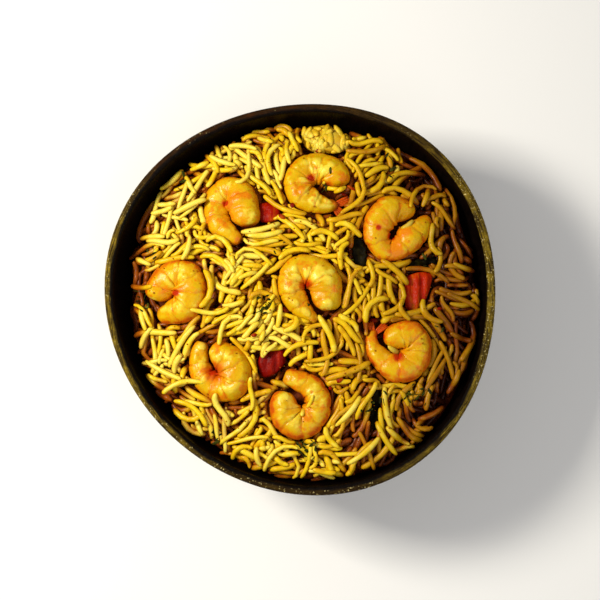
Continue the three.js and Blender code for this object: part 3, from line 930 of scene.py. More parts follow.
# ---------- the pile and what lies on it
class Pile:
    """Height of everything laid so far, on a fine square grid, and the space that the toppings take."""

    def __init__(self, form: ShellForm, cell: float = 0.4) -> None:
        """Starts with an empty bowl.

        Args:
            form: The bowl's sizes.
            cell: Grid step in millimetres.
        """
        self.form = form
        self.cell = cell
        self.half = 64.0
        self.count = int(round(2 * self.half / cell)) + 1
        axis = np.linspace(-self.half, self.half, self.count)
        self.x, self.y = np.meshgrid(axis, axis, indexing="ij")
        self.height = np.full(self.x.shape, NO_ROOF)
        self.roof = np.full(self.x.shape, NO_ROOF)
        self.floor = np.full(self.x.shape, NO_FLOOR)
        self.clear = np.zeros(self.x.shape, dtype=bool)

    def index(self, x: Array, y: Array) -> tuple[Array, Array]:
        """Gives the grid cells of places.

        Args:
            x: Places to the right.
            y: Places away from the viewer.

        Returns:
            Their two grid indices.
        """
        last = self.count - 1
        i = np.clip(np.rint((x + self.half) / self.cell).astype(int), 0, last)
        j = np.clip(np.rint((y + self.half) / self.cell).astype(int), 0, last)
        return i, j

    def block(self, places: Array, radii: Array, flat: float, margin: float) -> None:
        """Marks the space of a round body as taken.

        Args:
            places: Middles of the body's sections.
            radii: Their radii.
            flat: Height of a section as a share of its width.
            margin: Room kept round the body.
        """
        for (x, y, z), radius in zip(places, radii):
            wide = radius + margin
            (i0, i1), (j0, j1) = self.index(np.array([x - wide, x + wide]), np.array([y - wide, y + wide]))
            window = (slice(i0, i1 + 1), slice(j0, j1 + 1))
            off = 1.0 - ((self.x[window] - x) ** 2 + (self.y[window] - y) ** 2) / wide**2
            rise = np.sqrt(held(off)) * (radius * flat + margin)
            hit = off > 0
            self.roof[window] = np.where(hit, np.maximum(self.roof[window], z + rise), self.roof[window])
            self.floor[window] = np.where(hit, np.minimum(self.floor[window], z - rise), self.floor[window])

    def keep_clear(self, outline: Array) -> None:
        """Keeps loose grains out of a closed outline, such as the hole of a curled shrimp.

        Args:
            outline: Corners of the outline, one a row.
        """
        after = np.roll(outline, -1, axis=0)
        for (x0, y0), (x1, y1) in zip(outline, after):
            if abs(y1 - y0) < 1e-9:
                continue
            level = (self.y > min(y0, y1)) & (self.y <= max(y0, y1))
            self.clear ^= level & (self.x < x0 + (self.y - y0) * (x1 - x0) / (y1 - y0))

    def envelope(self, reach: float = 3.2) -> Array:
        """Gives the smoothed level of the highest grains about each place.

        Args:
            reach: How far about each place it looks, in millimetres.

        Returns:
            The level at each grid cell.
        """
        steps = int(round(reach / self.cell))
        top = self.height.copy()
        for axis in (0, 1):
            source = top.copy()
            for step in range(1, steps + 1):
                top = np.maximum(top, np.maximum(np.roll(source, step, axis), np.roll(source, -step, axis)))
        for axis in (0, 1):
            source = top.copy()
            top = sum(np.roll(source, step, axis) for step in range(-steps, steps + 1)) / (2 * steps + 1)
        return top

    def add_tube(self, places: Array, radius: float, flat: float = 0.9) -> None:
        """Raises the pile by a grain.

        Args:
            places: Points along its course.
            radius: Its thickness.
            flat: Its height as a share of its width.
        """
        reach = int(math.ceil(radius / self.cell))
        steps = np.arange(-reach, reach + 1)
        di, dj = np.meshgrid(steps, steps, indexing="ij")
        off = radius**2 - (di**2 + dj**2) * self.cell**2
        keep = off > 0
        di, dj, rise = di[keep], dj[keep], np.sqrt(off[keep]) * flat
        i, j = self.index(places[:, 0], places[:, 1])
        ii = np.clip(i[:, None] + di, 0, self.count - 1)
        jj = np.clip(j[:, None] + dj, 0, self.count - 1)
        np.maximum.at(self.height, (ii.ravel(), jj.ravel()), (places[:, 2][:, None] + rise).ravel())


@dataclass
class CurledShrimp:
    """One peeled, cooked shrimp curled on its side."""

    name: str
    body: Sequence[Triple]
    fins: Sequence[tuple[float, float, float, float, float]] = ()
    redness: float = 0.6
    knobs: float = 1.0
    inward: float = 1.3
    stains: Sequence[Triple] = ()
    flat: float = 0.9
    columns: int = 48
    rows: int = 130
    segments: int = 6
    first: float = 0.13
    last: float = 0.82
    large_knobs: Pair = (1.4, 2.5)
    large_density: float = 1.9
    small_knobs: Pair = (0.5, 1.0)
    small_density: float = 8.0
    seed: int = 0

    def path(self, form: ShellForm) -> SmoothPath:
        """Gives the body's middle line with its radius as a fourth column.

        Args:
            form: The bowl's sizes.

        Returns:
            The line from head to tail.
        """
        rows = []
        for x, y, radius in self.body:
            base = float(form.heap_height(np.array(x), np.array(y)))
            rows.append((x, y, base + 0.34 + radius * self.flat, radius))
        return SmoothPath(rows)

    @staticmethod
    def curl_radius(path: SmoothPath, t: Array) -> Array:
        """Gives how tightly the body curls at shares of its length, as a radius in millimetres.

        Args:
            path: The body's middle line.
            t: Shares of its length.

        Returns:
            One radius for each share.
        """
        shares = np.linspace(0.0, 1.0, 121)
        ways = path.heading(shares)
        turn = np.unwrap(np.arctan2(ways[:, 1], ways[:, 0]))
        rate = np.abs(np.gradient(turn, shares * path.length))
        rate = np.convolve(np.pad(rate, 6, mode="edge"), np.ones(13) / 13, mode="valid")
        return np.interp(t, shares, 1.0 / np.maximum(rate, 0.02))

    def swell(self, t: Array, outward: Array) -> tuple[Array, Array]:
        """Gives the thickness of the body and its grooves.

        Args:
            t: Shares of the length, from head to tail.
            outward: 1 on the back, -1 on the belly.

        Returns:
            The radius as a share of the nominal one, and the depth of the grooves from 0 to 1.
        """
        head = np.sqrt(held((t + 0.004) / 0.075))
        tail = np.sqrt(held((1.0 - t + 0.008) / 0.07))
        ends = np.sin(0.5 * math.pi * held(head * tail))
        bent = t + 0.012 * outward + 0.006 * np.sin(outward * 5.0 + self.seed)
        turn = (bent - self.first) / (self.last - self.first) * self.segments
        share = np.mod(turn, 1.0)
        inside = held((t - self.first + 0.02) / 0.03) * held((self.last + 0.03 - t) / 0.03)
        behind, ahead = np.exp(-((share / 0.07) ** 2)), np.exp(-(((1.0 - share) / 0.09) ** 2))
        groove = np.maximum(behind, 0.6 * ahead) * inside
        ridge = 0.045 * (share - 0.35) * inside
        belly = held(-outward)
        lobes = 0.10 * belly * np.sin(share * math.pi) ** 0.7 * inside
        keel = 0.03 * held(outward) ** 4
        cut = (0.07 - 0.03 * belly) * groove
        return ends * (1.0 + ridge - cut + lobes + keel), groove * (0.8 - 0.25 * belly)

    def knobbly(self, t: Array, turn: Array, length: float, sizes: Pair, density: float) -> Array:
        """Gives round knobs over the body.

        Args:
            t: Shares of the length.
            turn: Angles about the body's middle line.
            length: The body's length in millimetres.
            sizes: Smallest and largest radius of a knob in millimetres.
            density: Number of knobs for each millimetre of length.

        Returns:
            The knobs' height from 0 to 1.
        """
        draw = np.random.default_rng(100 + self.seed)
        count = int(length * density)
        spots = np.column_stack([draw.uniform(0, length, count), draw.uniform(-math.pi, math.pi, count)])
        radii = draw.uniform(*sizes, count)
        off_turn = np.abs(turn[:, None] - spots[:, 1])
        off_turn = np.minimum(off_turn, 2 * math.pi - off_turn) * 3.8
        off = np.hypot(t[:, None] * length - spots[:, 0], off_turn) / radii
        return np.sqrt(held(1.0 - off.min(axis=1) ** 2))

    def build(self, form: ShellForm, pile: Pile, material: Material) -> Piece:
        """Shapes the body along its curl and marks its space in the pile.

        Args:
            form: The bowl's sizes.
            pile: The pile whose space the shrimp takes.
            material: The finish.

        Returns:
            The finished piece.
        """
        path = self.path(form)
        mesh = ball(self.columns, self.rows)
        places = read_places(mesh)
        t = np.arccos(np.clip(places[:, 2], -1.0, 1.0)) / math.pi
        turn = np.arctan2(places[:, 1], places[:, 0])
        rows, along = path.at(t), path.heading(t)
        side = np.cross(np.array([0.0, 0.0, 1.0]), along)
        side /= np.linalg.norm(side, axis=1, keepdims=True)
        top = np.cross(along, side)
        ways = path.heading(np.linspace(0.05, 0.9, 40))
        outer = -1.0 if np.cross(ways[:-1], ways[1:])[:, 2].sum() > 0 else 1.0
        outward = np.cos(turn) * outer
        share, groove = self.swell(t, outward)
        belly = held(0.8 - outward) * self.knobs * (1.0 - 0.5 * groove)
        belly *= 1.0 - 0.7 * held((-0.35 - outward) / 0.65)
        knob = self.knobbly(t, turn, path.length, self.large_knobs, self.large_density) * belly
        small = self.knobbly(t, turn, path.length, self.small_knobs, self.small_density) * belly
        waves = ripple(t * 60.0 + self.seed, turn * 2.2, 1.0, self.seed)
        lumpy = 0.985 + 0.03 * waves + 0.12 * knob + 0.03 * small
        middle = np.sin(math.pi * held((t - 0.02) / 0.9)) ** 0.5
        radius = rows[:, 3] * share * lumpy
        inward = np.clip(0.93 * self.curl_radius(path, t) / (rows[:, 3] * lumpy), 1.0, self.inward)
        inner = 1.0 + (inward - 1.0) * held(-outward) * middle
        new = (
            rows[:, :3]
            + side * (radius * inner * np.cos(turn))[:, None]
            + top * (radius * self.flat * np.sin(turn))[:, None]
        )
        write_places(mesh, new)
        write_attribute(mesh, Attribute.BACK, held((outward - 0.3) / 0.6) * self.redness)
        write_attribute(mesh, Attribute.GROOVE, np.maximum(groove, np.clip((-0.8 - outward) / 0.2, 0.0, 0.6)))
        # painted highlight: the knobs, fainter on the inner belly, are painted pale by the finish
        painted_knob_highlight = held(knob) ** 2 * np.clip((outward + 0.95) / 0.3, 0.2, 1.0)
        write_attribute(mesh, Attribute.KNOB_HIGHLIGHT, painted_knob_highlight)
        write_attribute(mesh, Attribute.BELLY, held(0.3 - outward))
        write_attribute(mesh, Attribute.STAIN, near_spots(new[:, 0], new[:, 1], self.stains))
        tail_red = 0.9 if self.fins else 0.3
        write_attribute(mesh, Attribute.FIN, held((t - 0.93) / 0.06) * tail_red)
        self.add_fins(mesh, form, pile)
        places = settle_on_node(read_places(mesh), self.name)
        lift = places[0, 2] - read_places(mesh)[0, 2]
        write_places(mesh, places * MM)
        shares = np.linspace(0.0, 1.0, 90)
        spine = path.at(shares)
        thick, _ = self.swell(shares, np.zeros_like(shares))
        spine[:, 2] += lift
        pile.block(spine[:, :3], spine[:, 3] * thick, self.flat, 0.3)
        pile.keep_clear(spine[::6, :2])
        return add_piece(f"{self.name}_flesh", mesh, material, [self.name])

    def add_fins(self, mesh: Shape, form: ShellForm, pile: Pile) -> None:
        """Adds the ribbed fins of the tail fan.

        Args:
            mesh: The body's bmesh.
            form: The bowl's sizes.
            pile: The pile whose space the fins take.
        """
        layer = mesh.verts.layers.float[Attribute.FIN.value]
        for x, y, length, width, heading in self.fins:
            base = float(form.heap_height(np.array(x), np.array(y)))
            for share in (-0.9, -0.3, 0.3, 0.9):
                made = bmesh.ops.create_uvsphere(mesh, u_segments=12, v_segments=14, radius=0.5)
                for vertex in made["verts"]:
                    vertex[layer] = 1.0
                    flare = 0.65 + 0.7 * (vertex.co.x + 0.5)
                    vertex.co.y = (0.34 * vertex.co.y + 0.36 * share) * flare
                shape = Matrix.Diagonal((length * (1.0 - 0.12 * abs(share)), width, 1.1, 1.0))
                turn = Matrix.Rotation(math.radians(heading), 4, "Z") @ shape
                place = Matrix.Translation((x, y, base + 1.5 + 0.15 * math.cos(share * 7.0)))
                bmesh.ops.transform(mesh, matrix=place @ turn, verts=made["verts"])
            way = np.array([math.cos(math.radians(heading)), math.sin(math.radians(heading)), 0.0])
            spots = np.array([x, y, base + 1.6]) + np.linspace(-0.4, 0.4, 5)[:, None] * length * way
            pile.block(spots, np.full(5, width * 0.5), 0.5, 0.3)
            across = np.array([-way[1], way[0]]) * width * 0.45
            ends = spots[[0, -1], :2]
            pile.keep_clear(np.vstack([ends - across, (ends + across)[::-1]]))


@dataclass
class TomatoPiece:
    """A cooked piece of tomato with a rounded outline."""

    name: str
    edge: Sequence[Pair]
    thick: float
    rib: float
    slot: str
    finish: TomatoFinish
    bare: float = 0.7
    steps: int = 40
    columns: int = 56
    rows: int = 28

    def build(self, form: ShellForm, pile: Pile) -> Piece:
        """Shapes the piece from a ball and marks its space in the pile.

        Args:
            form: The bowl's sizes.
            pile: The pile whose space the piece takes.

        Returns:
            The finished piece.
        """
        corners = [(x, y, 0.0) for x, y in self.edge]
        ring = SmoothPath([*corners, *corners[:2]], self.steps).rows[: -self.steps]
        middle = ring[:, :2].mean(axis=0)
        angles = np.arctan2(ring[:, 1] - middle[1], ring[:, 0] - middle[0])
        order = np.argsort(angles)
        reach = np.hypot(ring[:, 0] - middle[0], ring[:, 1] - middle[1])[order]
        mesh = ball(self.columns, self.rows)
        places = read_places(mesh)
        angle = np.arctan2(places[:, 1], places[:, 0])
        far = np.interp(angle, angles[order], reach, period=2 * math.pi)
        spread = np.minimum(1.0, np.hypot(places[:, 0], places[:, 1])) ** 0.62
        lift = np.sign(places[:, 2]) * np.abs(places[:, 2]) ** 0.7 * 0.5 * self.thick
        x, y = middle[0] + np.cos(angle) * far * spread, middle[1] + np.sin(angle) * far * spread
        above = held(places[:, 2] * 3.0) * (1.0 - spread**2)
        folds = self.rib * np.cos((x - middle[0]) * 1.9) + 0.18 * ripple(x, y, 0.8, 3.0)
        z = form.heap_height(x, y) + self.thick * 0.5 + lift + folds * above
        write_places(mesh, settle_on_node(np.column_stack([x, y, z]), self.name) * MM)
        low = float(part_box(self.name)[0][2]) / MM
        shares = (0.3, 0.6, 0.8)
        flat_places = [middle + (place[:2] - middle) * share for place in ring[::6] for share in shares]
        taken = np.array([[*place, low + self.thick / 2] for place in flat_places])
        pile.block(taken, np.full(len(taken), 1.5), self.thick / 3.0, 0.2)
        pile.keep_clear(middle + (ring[::6, :2] - middle) * self.bare)
        return add_piece(f"{self.name}_flesh", mesh, self.finish.build(), [self.name])


@dataclass
class HerbLeaf:
    """A wilted leaf: a thin wavy sheet along its midrib."""

    name: str
    rib: Sequence[Pair]
    width: float
    wave: float
    bare: bool = False
    thick: float = 0.5

    def build(self, form: ShellForm, pile: Pile, material: Material) -> Piece:
        """Shapes the sheet, thickens it and marks its space in the pile.

        Args:
            form: The bowl's sizes.
            pile: The pile whose space the leaf takes.
            material: The finish.

        Returns:
            The finished piece.
        """
        path = SmoothPath([(x, y, 0.0) for x, y in self.rib])
        mesh = bmesh.new()
        bmesh.ops.create_grid(mesh, x_segments=36, y_segments=10, size=0.5)
        places = read_places(mesh)
        t, across = held(places[:, 0] + 0.5), places[:, 1]
        rows, along = path.at(t), path.heading(t)
        half = self.width * (0.1 + 0.9 * np.sin(math.pi * (0.04 + 0.92 * t)) ** 0.7)
        half *= 1.0 + 0.12 * np.sin(t * 31.0 + np.sign(across) * 2.0)
        x, y = rows[:, 0] - along[:, 1] * across * half, rows[:, 1] + along[:, 0] * across * half
        ruffle = 1.0 + 0.6 * np.sin(t * 9.0 + across * 4.0) + 1.1 * np.abs(across)
        z = form.heap_height(x, y) + self.wave * (ruffle + 0.3 * np.sin(t * 23.0))
        write_places(mesh, np.column_stack([x, y, z]))
        bmesh.ops.solidify(mesh, geom=mesh.faces[:], thickness=self.thick)
        bmesh.ops.recalc_face_normals(mesh, faces=mesh.faces)
        places = settle_on_node(read_places(mesh), self.name)
        write_places(mesh, places * MM)
        spine = path.at(np.linspace(0.05, 0.95, 24))
        spine[:, 2] = places[:, 2].mean()
        pile.block(spine[:, :3], np.full(24, self.width * 0.45), 0.35, 0.15)
        if self.bare:
            shares = np.linspace(0.1, 0.9, 12)
            ways = path.heading(shares)
            outward = np.column_stack([-ways[:, 1], ways[:, 0]]) * self.width * 0.42
            middle = path.at(shares)[:, :2]
            pile.keep_clear(np.vstack([middle + outward, (middle - outward)[::-1]]))
        return add_piece(f"{self.name}_blade", mesh, material, [self.name])


# ---------- rice
@dataclass
class Grain:
    """One laid grain: its place, course and thickness, in millimetres."""

    places: Array
    radius: float
    tone: float
    kind: GrainKind


@dataclass(frozen=True)
class Layer:
    """One round of laying grains."""

    count: int
    spread: float
    above: float
    top: float
    overlap: bool = False
    lengths: Pair = (11.0, 16.5)
    squash: float = 0.72


@dataclass
class RiceHeap:
    """The bed of masala rice and the loose long grains on it."""

    form: ShellForm
    pile: Pile
    seed: int = 20
    sunk: float = 2.2
    highest: float = 59.3
    layers: Sequence[Layer] = (
        Layer(700, 60.0, -1.2, 0.8),
        Layer(800, 45.0, 0.6, 2.4),
        Layer(700, 45.0, 0.9, 2.6, lengths=(4.5, 9.0), squash=0.38),
        Layer(1000, 38.0, 2.0, 4.0, lengths=(10.0, 17.0)),
        Layer(450, 40.0, 2.2, 3.8, lengths=(6.5, 11.0), squash=0.38),
        Layer(600, 55.0, 3.2, 5.0, lengths=(9.0, 17.0), squash=0.6),
    )
    over: Layer = Layer(26, 30.0, 3.0, 9.0, overlap=True)
    tries: int = 28
    samples: int = 13
    sides: int = 7
    tips: Sequence[float] = (0.14, 0.6, 1.9)
    bed_rings: int = 60
    bed_turns: int = 150
    bed_gap: float = 0.4
    bed_levels: Pair = (26.0, 14.0)
    crown_side: float = 128.0
    crown_rise: float = 3.0
    crown_width: float = 0.75
    bundle_reach: float = 6.5
    lay_reach: float = 60.5
    radii: Pair = (0.74, 1.14)
    bend_spread: float = 0.75
    strong_share: float = 0.24
    strong_bends: Pair = (1.1, 2.5)
    twist_spread: float = 0.6
    short_share: float = 0.1
    short_lengths: Pair = (0.45, 0.75)
    over_shares: Pair = (0.1, 0.35)
    sag: float = 0.68
    deepest_sag: float = 2.6
    stray_radius: float = 0.95
    stray_paler: float = 0.08
    lemon_below: float = 0.3
    golden_below: float = 0.52
    thinning: float = 1.4
    # painted shade: how far under the top grains it starts and over what depth it grows, and where and over
    # what width the right side is painted darker
    shade_from: float = 2.0
    shade_over: float = 4.4
    right_shade_from: float = 4.0
    right_shade_over: float = 38.0
    # where neighbouring grains lie side by side: x, y, heading in degrees
    bundles: Sequence[Triple] = (
        (-27, 47, -40), (-20, 46, -60), (-8, 47, -65), (-38, 25, -60), (-30, 16, -50), (-11, 21, 12),
        (4, 25, -12), (14, 18, 20), (24, 4, -80), (31, 2, -75), (54, 11, -8), (50, 21, -62), (42, 40, 35),
        (25, 49, 65), (15, 50, 30), (13, -12, -62), (21, -20, -15), (4, -16, 55), (-13, -1, 35),
        (-10, -12, 60), (-25, -5, 28), (-39, -13, 45), (-47, -19, 30), (-51, -25, -30), (-37, -34, -30),
        (-33, -40, -50), (-21, -40, -75), (-13, -43, 5), (-6, -48, 0), (7, -52, -40), (17, -39, 32),
        (22, -32, 30), (28, -40, -85), (32, -50, -50), (38, -43, 82), (47, -40, 35), (48, -32, 70),
        (50, -19, -80), (54, -7, -35), (46, 1, -50), (57, 3, 20), (-58, 5, -40), (-55, -3, -85),
        (-47, 16, 60), (-49, 31, 15), (-41, 35, 30), (-39, 44, -55), (-3, 5, -30),
    )

    # places where the heap is thin and, with painted shade, darker: x, y, radius
    hollows: Sequence[Triple] = (
        (-57, 24, 8), (-58, 13, 8), (-59, 3, 7), (-57, -9, 7), (-54, -20, 6), (-48, -36, 5), (-31, -50, 5),
        (-30, 5, 3.5), (18, 16, 4), (16, 4, 4), (14, -19, 4.5), (51, -31, 8), (46, -42, 6), (55, -10, 8),
        (54, 22, 8), (58, 8, 6), (22, -30, 4), (18, -47, 6), (28, -58, 5), (42, 41, 8), (14, -38, 4),
        (-13, -31, 5), (-3, 25, 3), (15, 30, 4), (41, 12, 5), (37, -38, 4), (48, 3, 4.5), (20.5, -8.5, 4.5),
        (34, -45, 4), (41, -36, 4), (22, -44, 4), (50, -38, 5),
    )

    # places where the grains are palest and their painted shade lightest: x, y, radius
    pales: Sequence[Triple] = (
        (-41, 28, 11), (-21, 48, 9), (-12, -10, 8), (5, -55, 8), (-10, -48, 7), (-9, 42, 6), (-44, -22, 8),
        (-30, -38, 7), (3, 20, 6), (-20, 10, 6), (30, 42, 6), (33, -51, 6), (-10, -13, 7), (-2, 52, 6),
    )
    # raised bundles of short grains: x, y, reach, count, spread of the headings
    tufts: Sequence[tuple[float, float, float, int, float]] = (
        (-10.5, -12.5, 8.5, 50, 20), (-8.3, -51, 5, 14, 60), (7, -52, 6, 20, 60),
        (-26, 47, 6, 14, 30), (38.5, -31.5, 4.5, 16, 60), (-3, 54, 6, 24, 40),
        (-44, -24, 6, 12, 40), (-20, 9, 5, 10, 40),
    )

    # single grains over the toppings' edges: x, y, heading, length, and for some the lift and the radius
    singles: Sequence[tuple[float, ...]] = (
        (35.8, 24, 36, 5.4, 0.6, 0.9), (31.2, -17.9, -27, 5.6, 0.8, 0.95), (1.1, -36.6, 80, 5.6, 0.8, 0.8),
        (3.4, -34.6, 64, 4.6, 0.8, 0.7), (6.6, 37.6, 32, 4.2, 0.6, 0.7), (10.6, 36.4, -12, 5, 0.4, 0.8),
        (13.4, 35.8, 25, 4.6, 0.2, 0.85), (-13, 22.6, 12, 13.5), (-11.6, 20.6, 6, 12),
        (28.5, -37, -82, 15), (28.2, -46.8, -60, 13), (32, -46, -38, 10), (21, -51, 38, 14),
        (43.5, -38.5, 25, 10), (16, -38, 48, 13),
    )

    # grains that stick out over the wall's foot: x, y, heading, length, bend in radians
    strays: Sequence[tuple[float, float, float, float, float]] = (
        (-41, 42.3, -62, 7.5, 0.4), (-26.5, 46.6, -24, 10, 0.5), (-20.2, 53.2, -6, 10, -0.8),
        (-12.2, 55.2, -22, 6, 0.3), (-2.6, 57, -66, 8, 0.2), (-47.2, 33.2, 0, 6.5, 0.2),
        (-48.5, 30.5, 14, 7.5, 0.3), (-51.5, 21.4, 2, 9, -0.4), (-58, 9, 88, 9, 0.9),
        (-56, 4, -8, 8, 0.6), (-52.5, 12.3, -27, 6, 0.2), (-49.4, -25.8, -28, 14, 0.3),
        (-41, -30.4, 17, 15, -1.2), (-35.6, -37.4, -35, 15, -1.3), (-34.8, -45.5, -68, 5, 0.2),
        (-15, -57, -80, 7, 1), (21, 56.7, 8, 5, 0.2), (26.3, 51, 88, 5, 0.2),
        (42.4, 34.3, 70, 8, 0.3), (55.3, 10.2, -17, 8, 0.3), (46.2, -42.5, 30, 10, -0.6),
        (55.3, -13.8, -18, 8, 0.3), (20.8, -56.6, 55, 13, -0.9), (-55, -14, 60, 9, -0.9),
        (-52.6, -7, -75, 8, 0.3), (-35, 46, 20, 7, 0.3), (8, -57.5, -10, 8, 0.4),
        (51, -28, 62, 9, 0.4),
    )

    def __post_init__(self) -> None:
        """Starts the seeded draw and the bed's height."""
        self.random = np.random.default_rng(self.seed)
        self.anchors = np.array(self.bundles, dtype=float)
        self.grains: list[Grain] = []
        self.pile.height = np.maximum(self.pile.height, self.bed_height(self.pile.x, self.pile.y))

    def crown(self, x: Array, y: Array) -> Array:
        """Gives how much higher the grains are banked against the wall behind.

        Args:
            x: Places to the right.
            y: Places away from the viewer.

        Returns:
            The added heights.
        """
        angle, distance = self.form.polar(x, y)
        turned = np.angle(np.exp(1j * (angle - math.radians(self.crown_side))))
        edge = held((distance - 34.0) / 20.0)
        bank = self.crown_rise * np.exp(-((turned / self.crown_width) ** 2))
        return bank * edge * edge * (3.0 - 2.0 * edge)

    def surface(self, x: Array, y: Array) -> Array:
        """Gives the level that the loose grains are laid about."""
        return self.form.heap_height(x, y) + self.crown(x, y)

    def bed_height(self, x: Array, y: Array) -> Array:
        """Gives the height of the bed under the loose grains."""
        return self.surface(x, y) - self.sunk + 0.7 * ripple(x, y, 2.6, 0.4) + 0.35 * ripple(x, y, 1.1, 2.0)

    def build_bed(self) -> Piece:
        """Spins the bed and shapes its top.

        Returns:
            The finished piece.
        """
        form = self.form
        section = [(float(share), 0.0, 0.0) for share in np.linspace(0.0, 1.0, self.bed_rings)]
        section += [(1.0, 0.0, -1.0), (1.0, 0.0, -2.0), (0.0, 0.0, -2.0)]
        mesh = spin_section(section, self.bed_turns, 1e-5)
        places = read_places(mesh)
        angle, share = np.arctan2(places[:, 1], places[:, 0]), np.hypot(places[:, 0], places[:, 1])
        edge = form.heap_height(form.axis_x + 62.0 * np.cos(angle), form.axis_y + 62.0 * np.sin(angle))
        upper, lower = self.bed_levels
        level = np.where(places[:, 2] > -0.5, edge - self.sunk, np.where(places[:, 2] > -1.5, upper, lower))
        reach = (form.wall_radius(level) - self.bed_gap) * form.lobe(angle) * share
        x, y = form.axis_x + reach * np.cos(angle), form.axis_y + reach * np.sin(angle)
        z = np.where(places[:, 2] > -0.5, self.bed_height(x, y), level)
        write_places(mesh, np.column_stack([x, y, z]) * MM)
        bmesh.ops.recalc_face_normals(mesh, faces=mesh.faces)
        return add_piece("rice_bed", mesh, BedFinish().build(), ["rice"])

    def drift(self, x: Array, y: Array) -> Array:
        """Gives the heading that neighbouring grains share at a place, in radians.

        Args:
            x: Places to the right.
            y: Places away from the viewer.

        Returns:
            One heading for each place.
        """
        off = (x[..., None] - self.anchors[:, 0]) ** 2 + (y[..., None] - self.anchors[:, 1]) ** 2
        weight = np.exp(-off / (2 * self.bundle_reach**2)) + 1e-9
        double = np.radians(self.anchors[:, 2]) * 2
        return 0.5 * np.arctan2((weight * np.sin(double)).sum(-1), (weight * np.cos(double)).sum(-1))

    def courses(self, count: int, layer: Layer, within: Triple | None = None) -> tuple:
        """Draws possible courses of grains over the bowl.

        Args:
            count: How many to draw.
            layer: The layer being laid.
            within: Middle and radius of the place to fill, or None for the whole bowl.

        Returns:
            Their places without heights, thicknesses and lengths.
        """
        draw = self.random
        angle = draw.uniform(0, 2 * math.pi, count)
        if within is None:
            distance = np.sqrt(draw.uniform(0, 1, count)) * self.lay_reach * self.form.lobe(angle)
            x, y = self.form.axis_x + distance * np.cos(angle), self.form.axis_y + distance * np.sin(angle)
        else:
            distance = np.sqrt(draw.uniform(0, 1, count)) * within[2]
            x, y = within[0] + distance * np.cos(angle), within[1] + distance * np.sin(angle)
        heading = self.drift(x, y) + np.radians(draw.normal(0, layer.spread, count))
        length = draw.uniform(*layer.lengths, count)
        short = draw.uniform(0, 1, count) < self.short_share
        length = np.where(short, length * draw.uniform(*self.short_lengths, count), length)
        bend = draw.normal(0, self.bend_spread, count)
        strong = draw.uniform(0, 1, count) < self.strong_share
        bend = np.where(strong, np.sign(bend) * draw.uniform(*self.strong_bends, count), bend)
        twist = draw.normal(0, self.twist_spread, count)
        s = np.linspace(-0.5, 0.5, self.samples)
        mids = (s[1:] + s[:-1]) / 2
        turn = heading[:, None] + bend[:, None] * mids + twist[:, None] * (4 * mids**2 - 1 / 3)
        step = length[:, None] / (self.samples - 1)
        px = np.concatenate([np.zeros((count, 1)), np.cumsum(np.cos(turn) * step, axis=1)], axis=1)
        py = np.concatenate([np.zeros((count, 1)), np.cumsum(np.sin(turn) * step, axis=1)], axis=1)
        px += (x - px[:, self.samples // 2])[:, None]
        py += (y - py[:, self.samples // 2])[:, None]
        return px, py, draw.uniform(*self.radii, count), length

    def rest_heights(
        self, px: Array, py: Array, radius: Array, length: Array, surface: Array, squash: float
    ) -> Array:
        """Lets grains down until they rest on the pile.

        Args:
            px: Places to the right, one row for each grain.
            py: Places away from the viewer.
            radius: Thicknesses.
            length: Lengths.
            surface: The height grid to rest on.
            squash: Room that a grain takes above what it rests on, as a share of its radius.

        Returns:
            The heights along each grain.
        """
        dx, dy = np.gradient(px, axis=1), np.gradient(py, axis=1)
        norm = np.hypot(dx, dy)
        nx, ny = -dy / norm, dx / norm
        wide = radius[:, None]
        need = surface[self.pile.index(px, py)] + wide * squash
        for sign in (-0.6 * squash, 0.6 * squash):
            beside = surface[self.pile.index(px + nx * wide * sign, py + ny * wide * sign)]
            need = np.maximum(need, beside + wide * squash * 0.7)
        s = np.linspace(-0.5, 0.5, self.samples) * length[:, None]
        mid = self.samples // 2
        left, right = slice(0, mid), slice(mid + 1, self.samples)
        sl, sr = s[:, left, None], s[:, None, right]
        zl, zr = need[:, left, None], need[:, None, right]
        height = (zl * sr - zr * sl) / (sr - sl)
        at_middle = np.maximum(height.max(axis=(1, 2)), need[:, mid])
        upper = ((need[:, left] - at_middle[:, None]) / s[:, left]).min(axis=1)
        lower = ((need[:, right] - at_middle[:, None]) / s[:, right]).max(axis=1)
        slope = np.clip(0.0, np.minimum(lower, upper), np.maximum(lower, upper))
        line = at_middle[:, None] + slope[:, None] * s
        course = line - self.sag * np.clip(line - need, 0.0, self.deepest_sag)
        for _ in range(3):
            course[:, 1:-1] = (course[:, :-2] + 2 * course[:, 1:-1] + course[:, 2:]) / 4
        return course

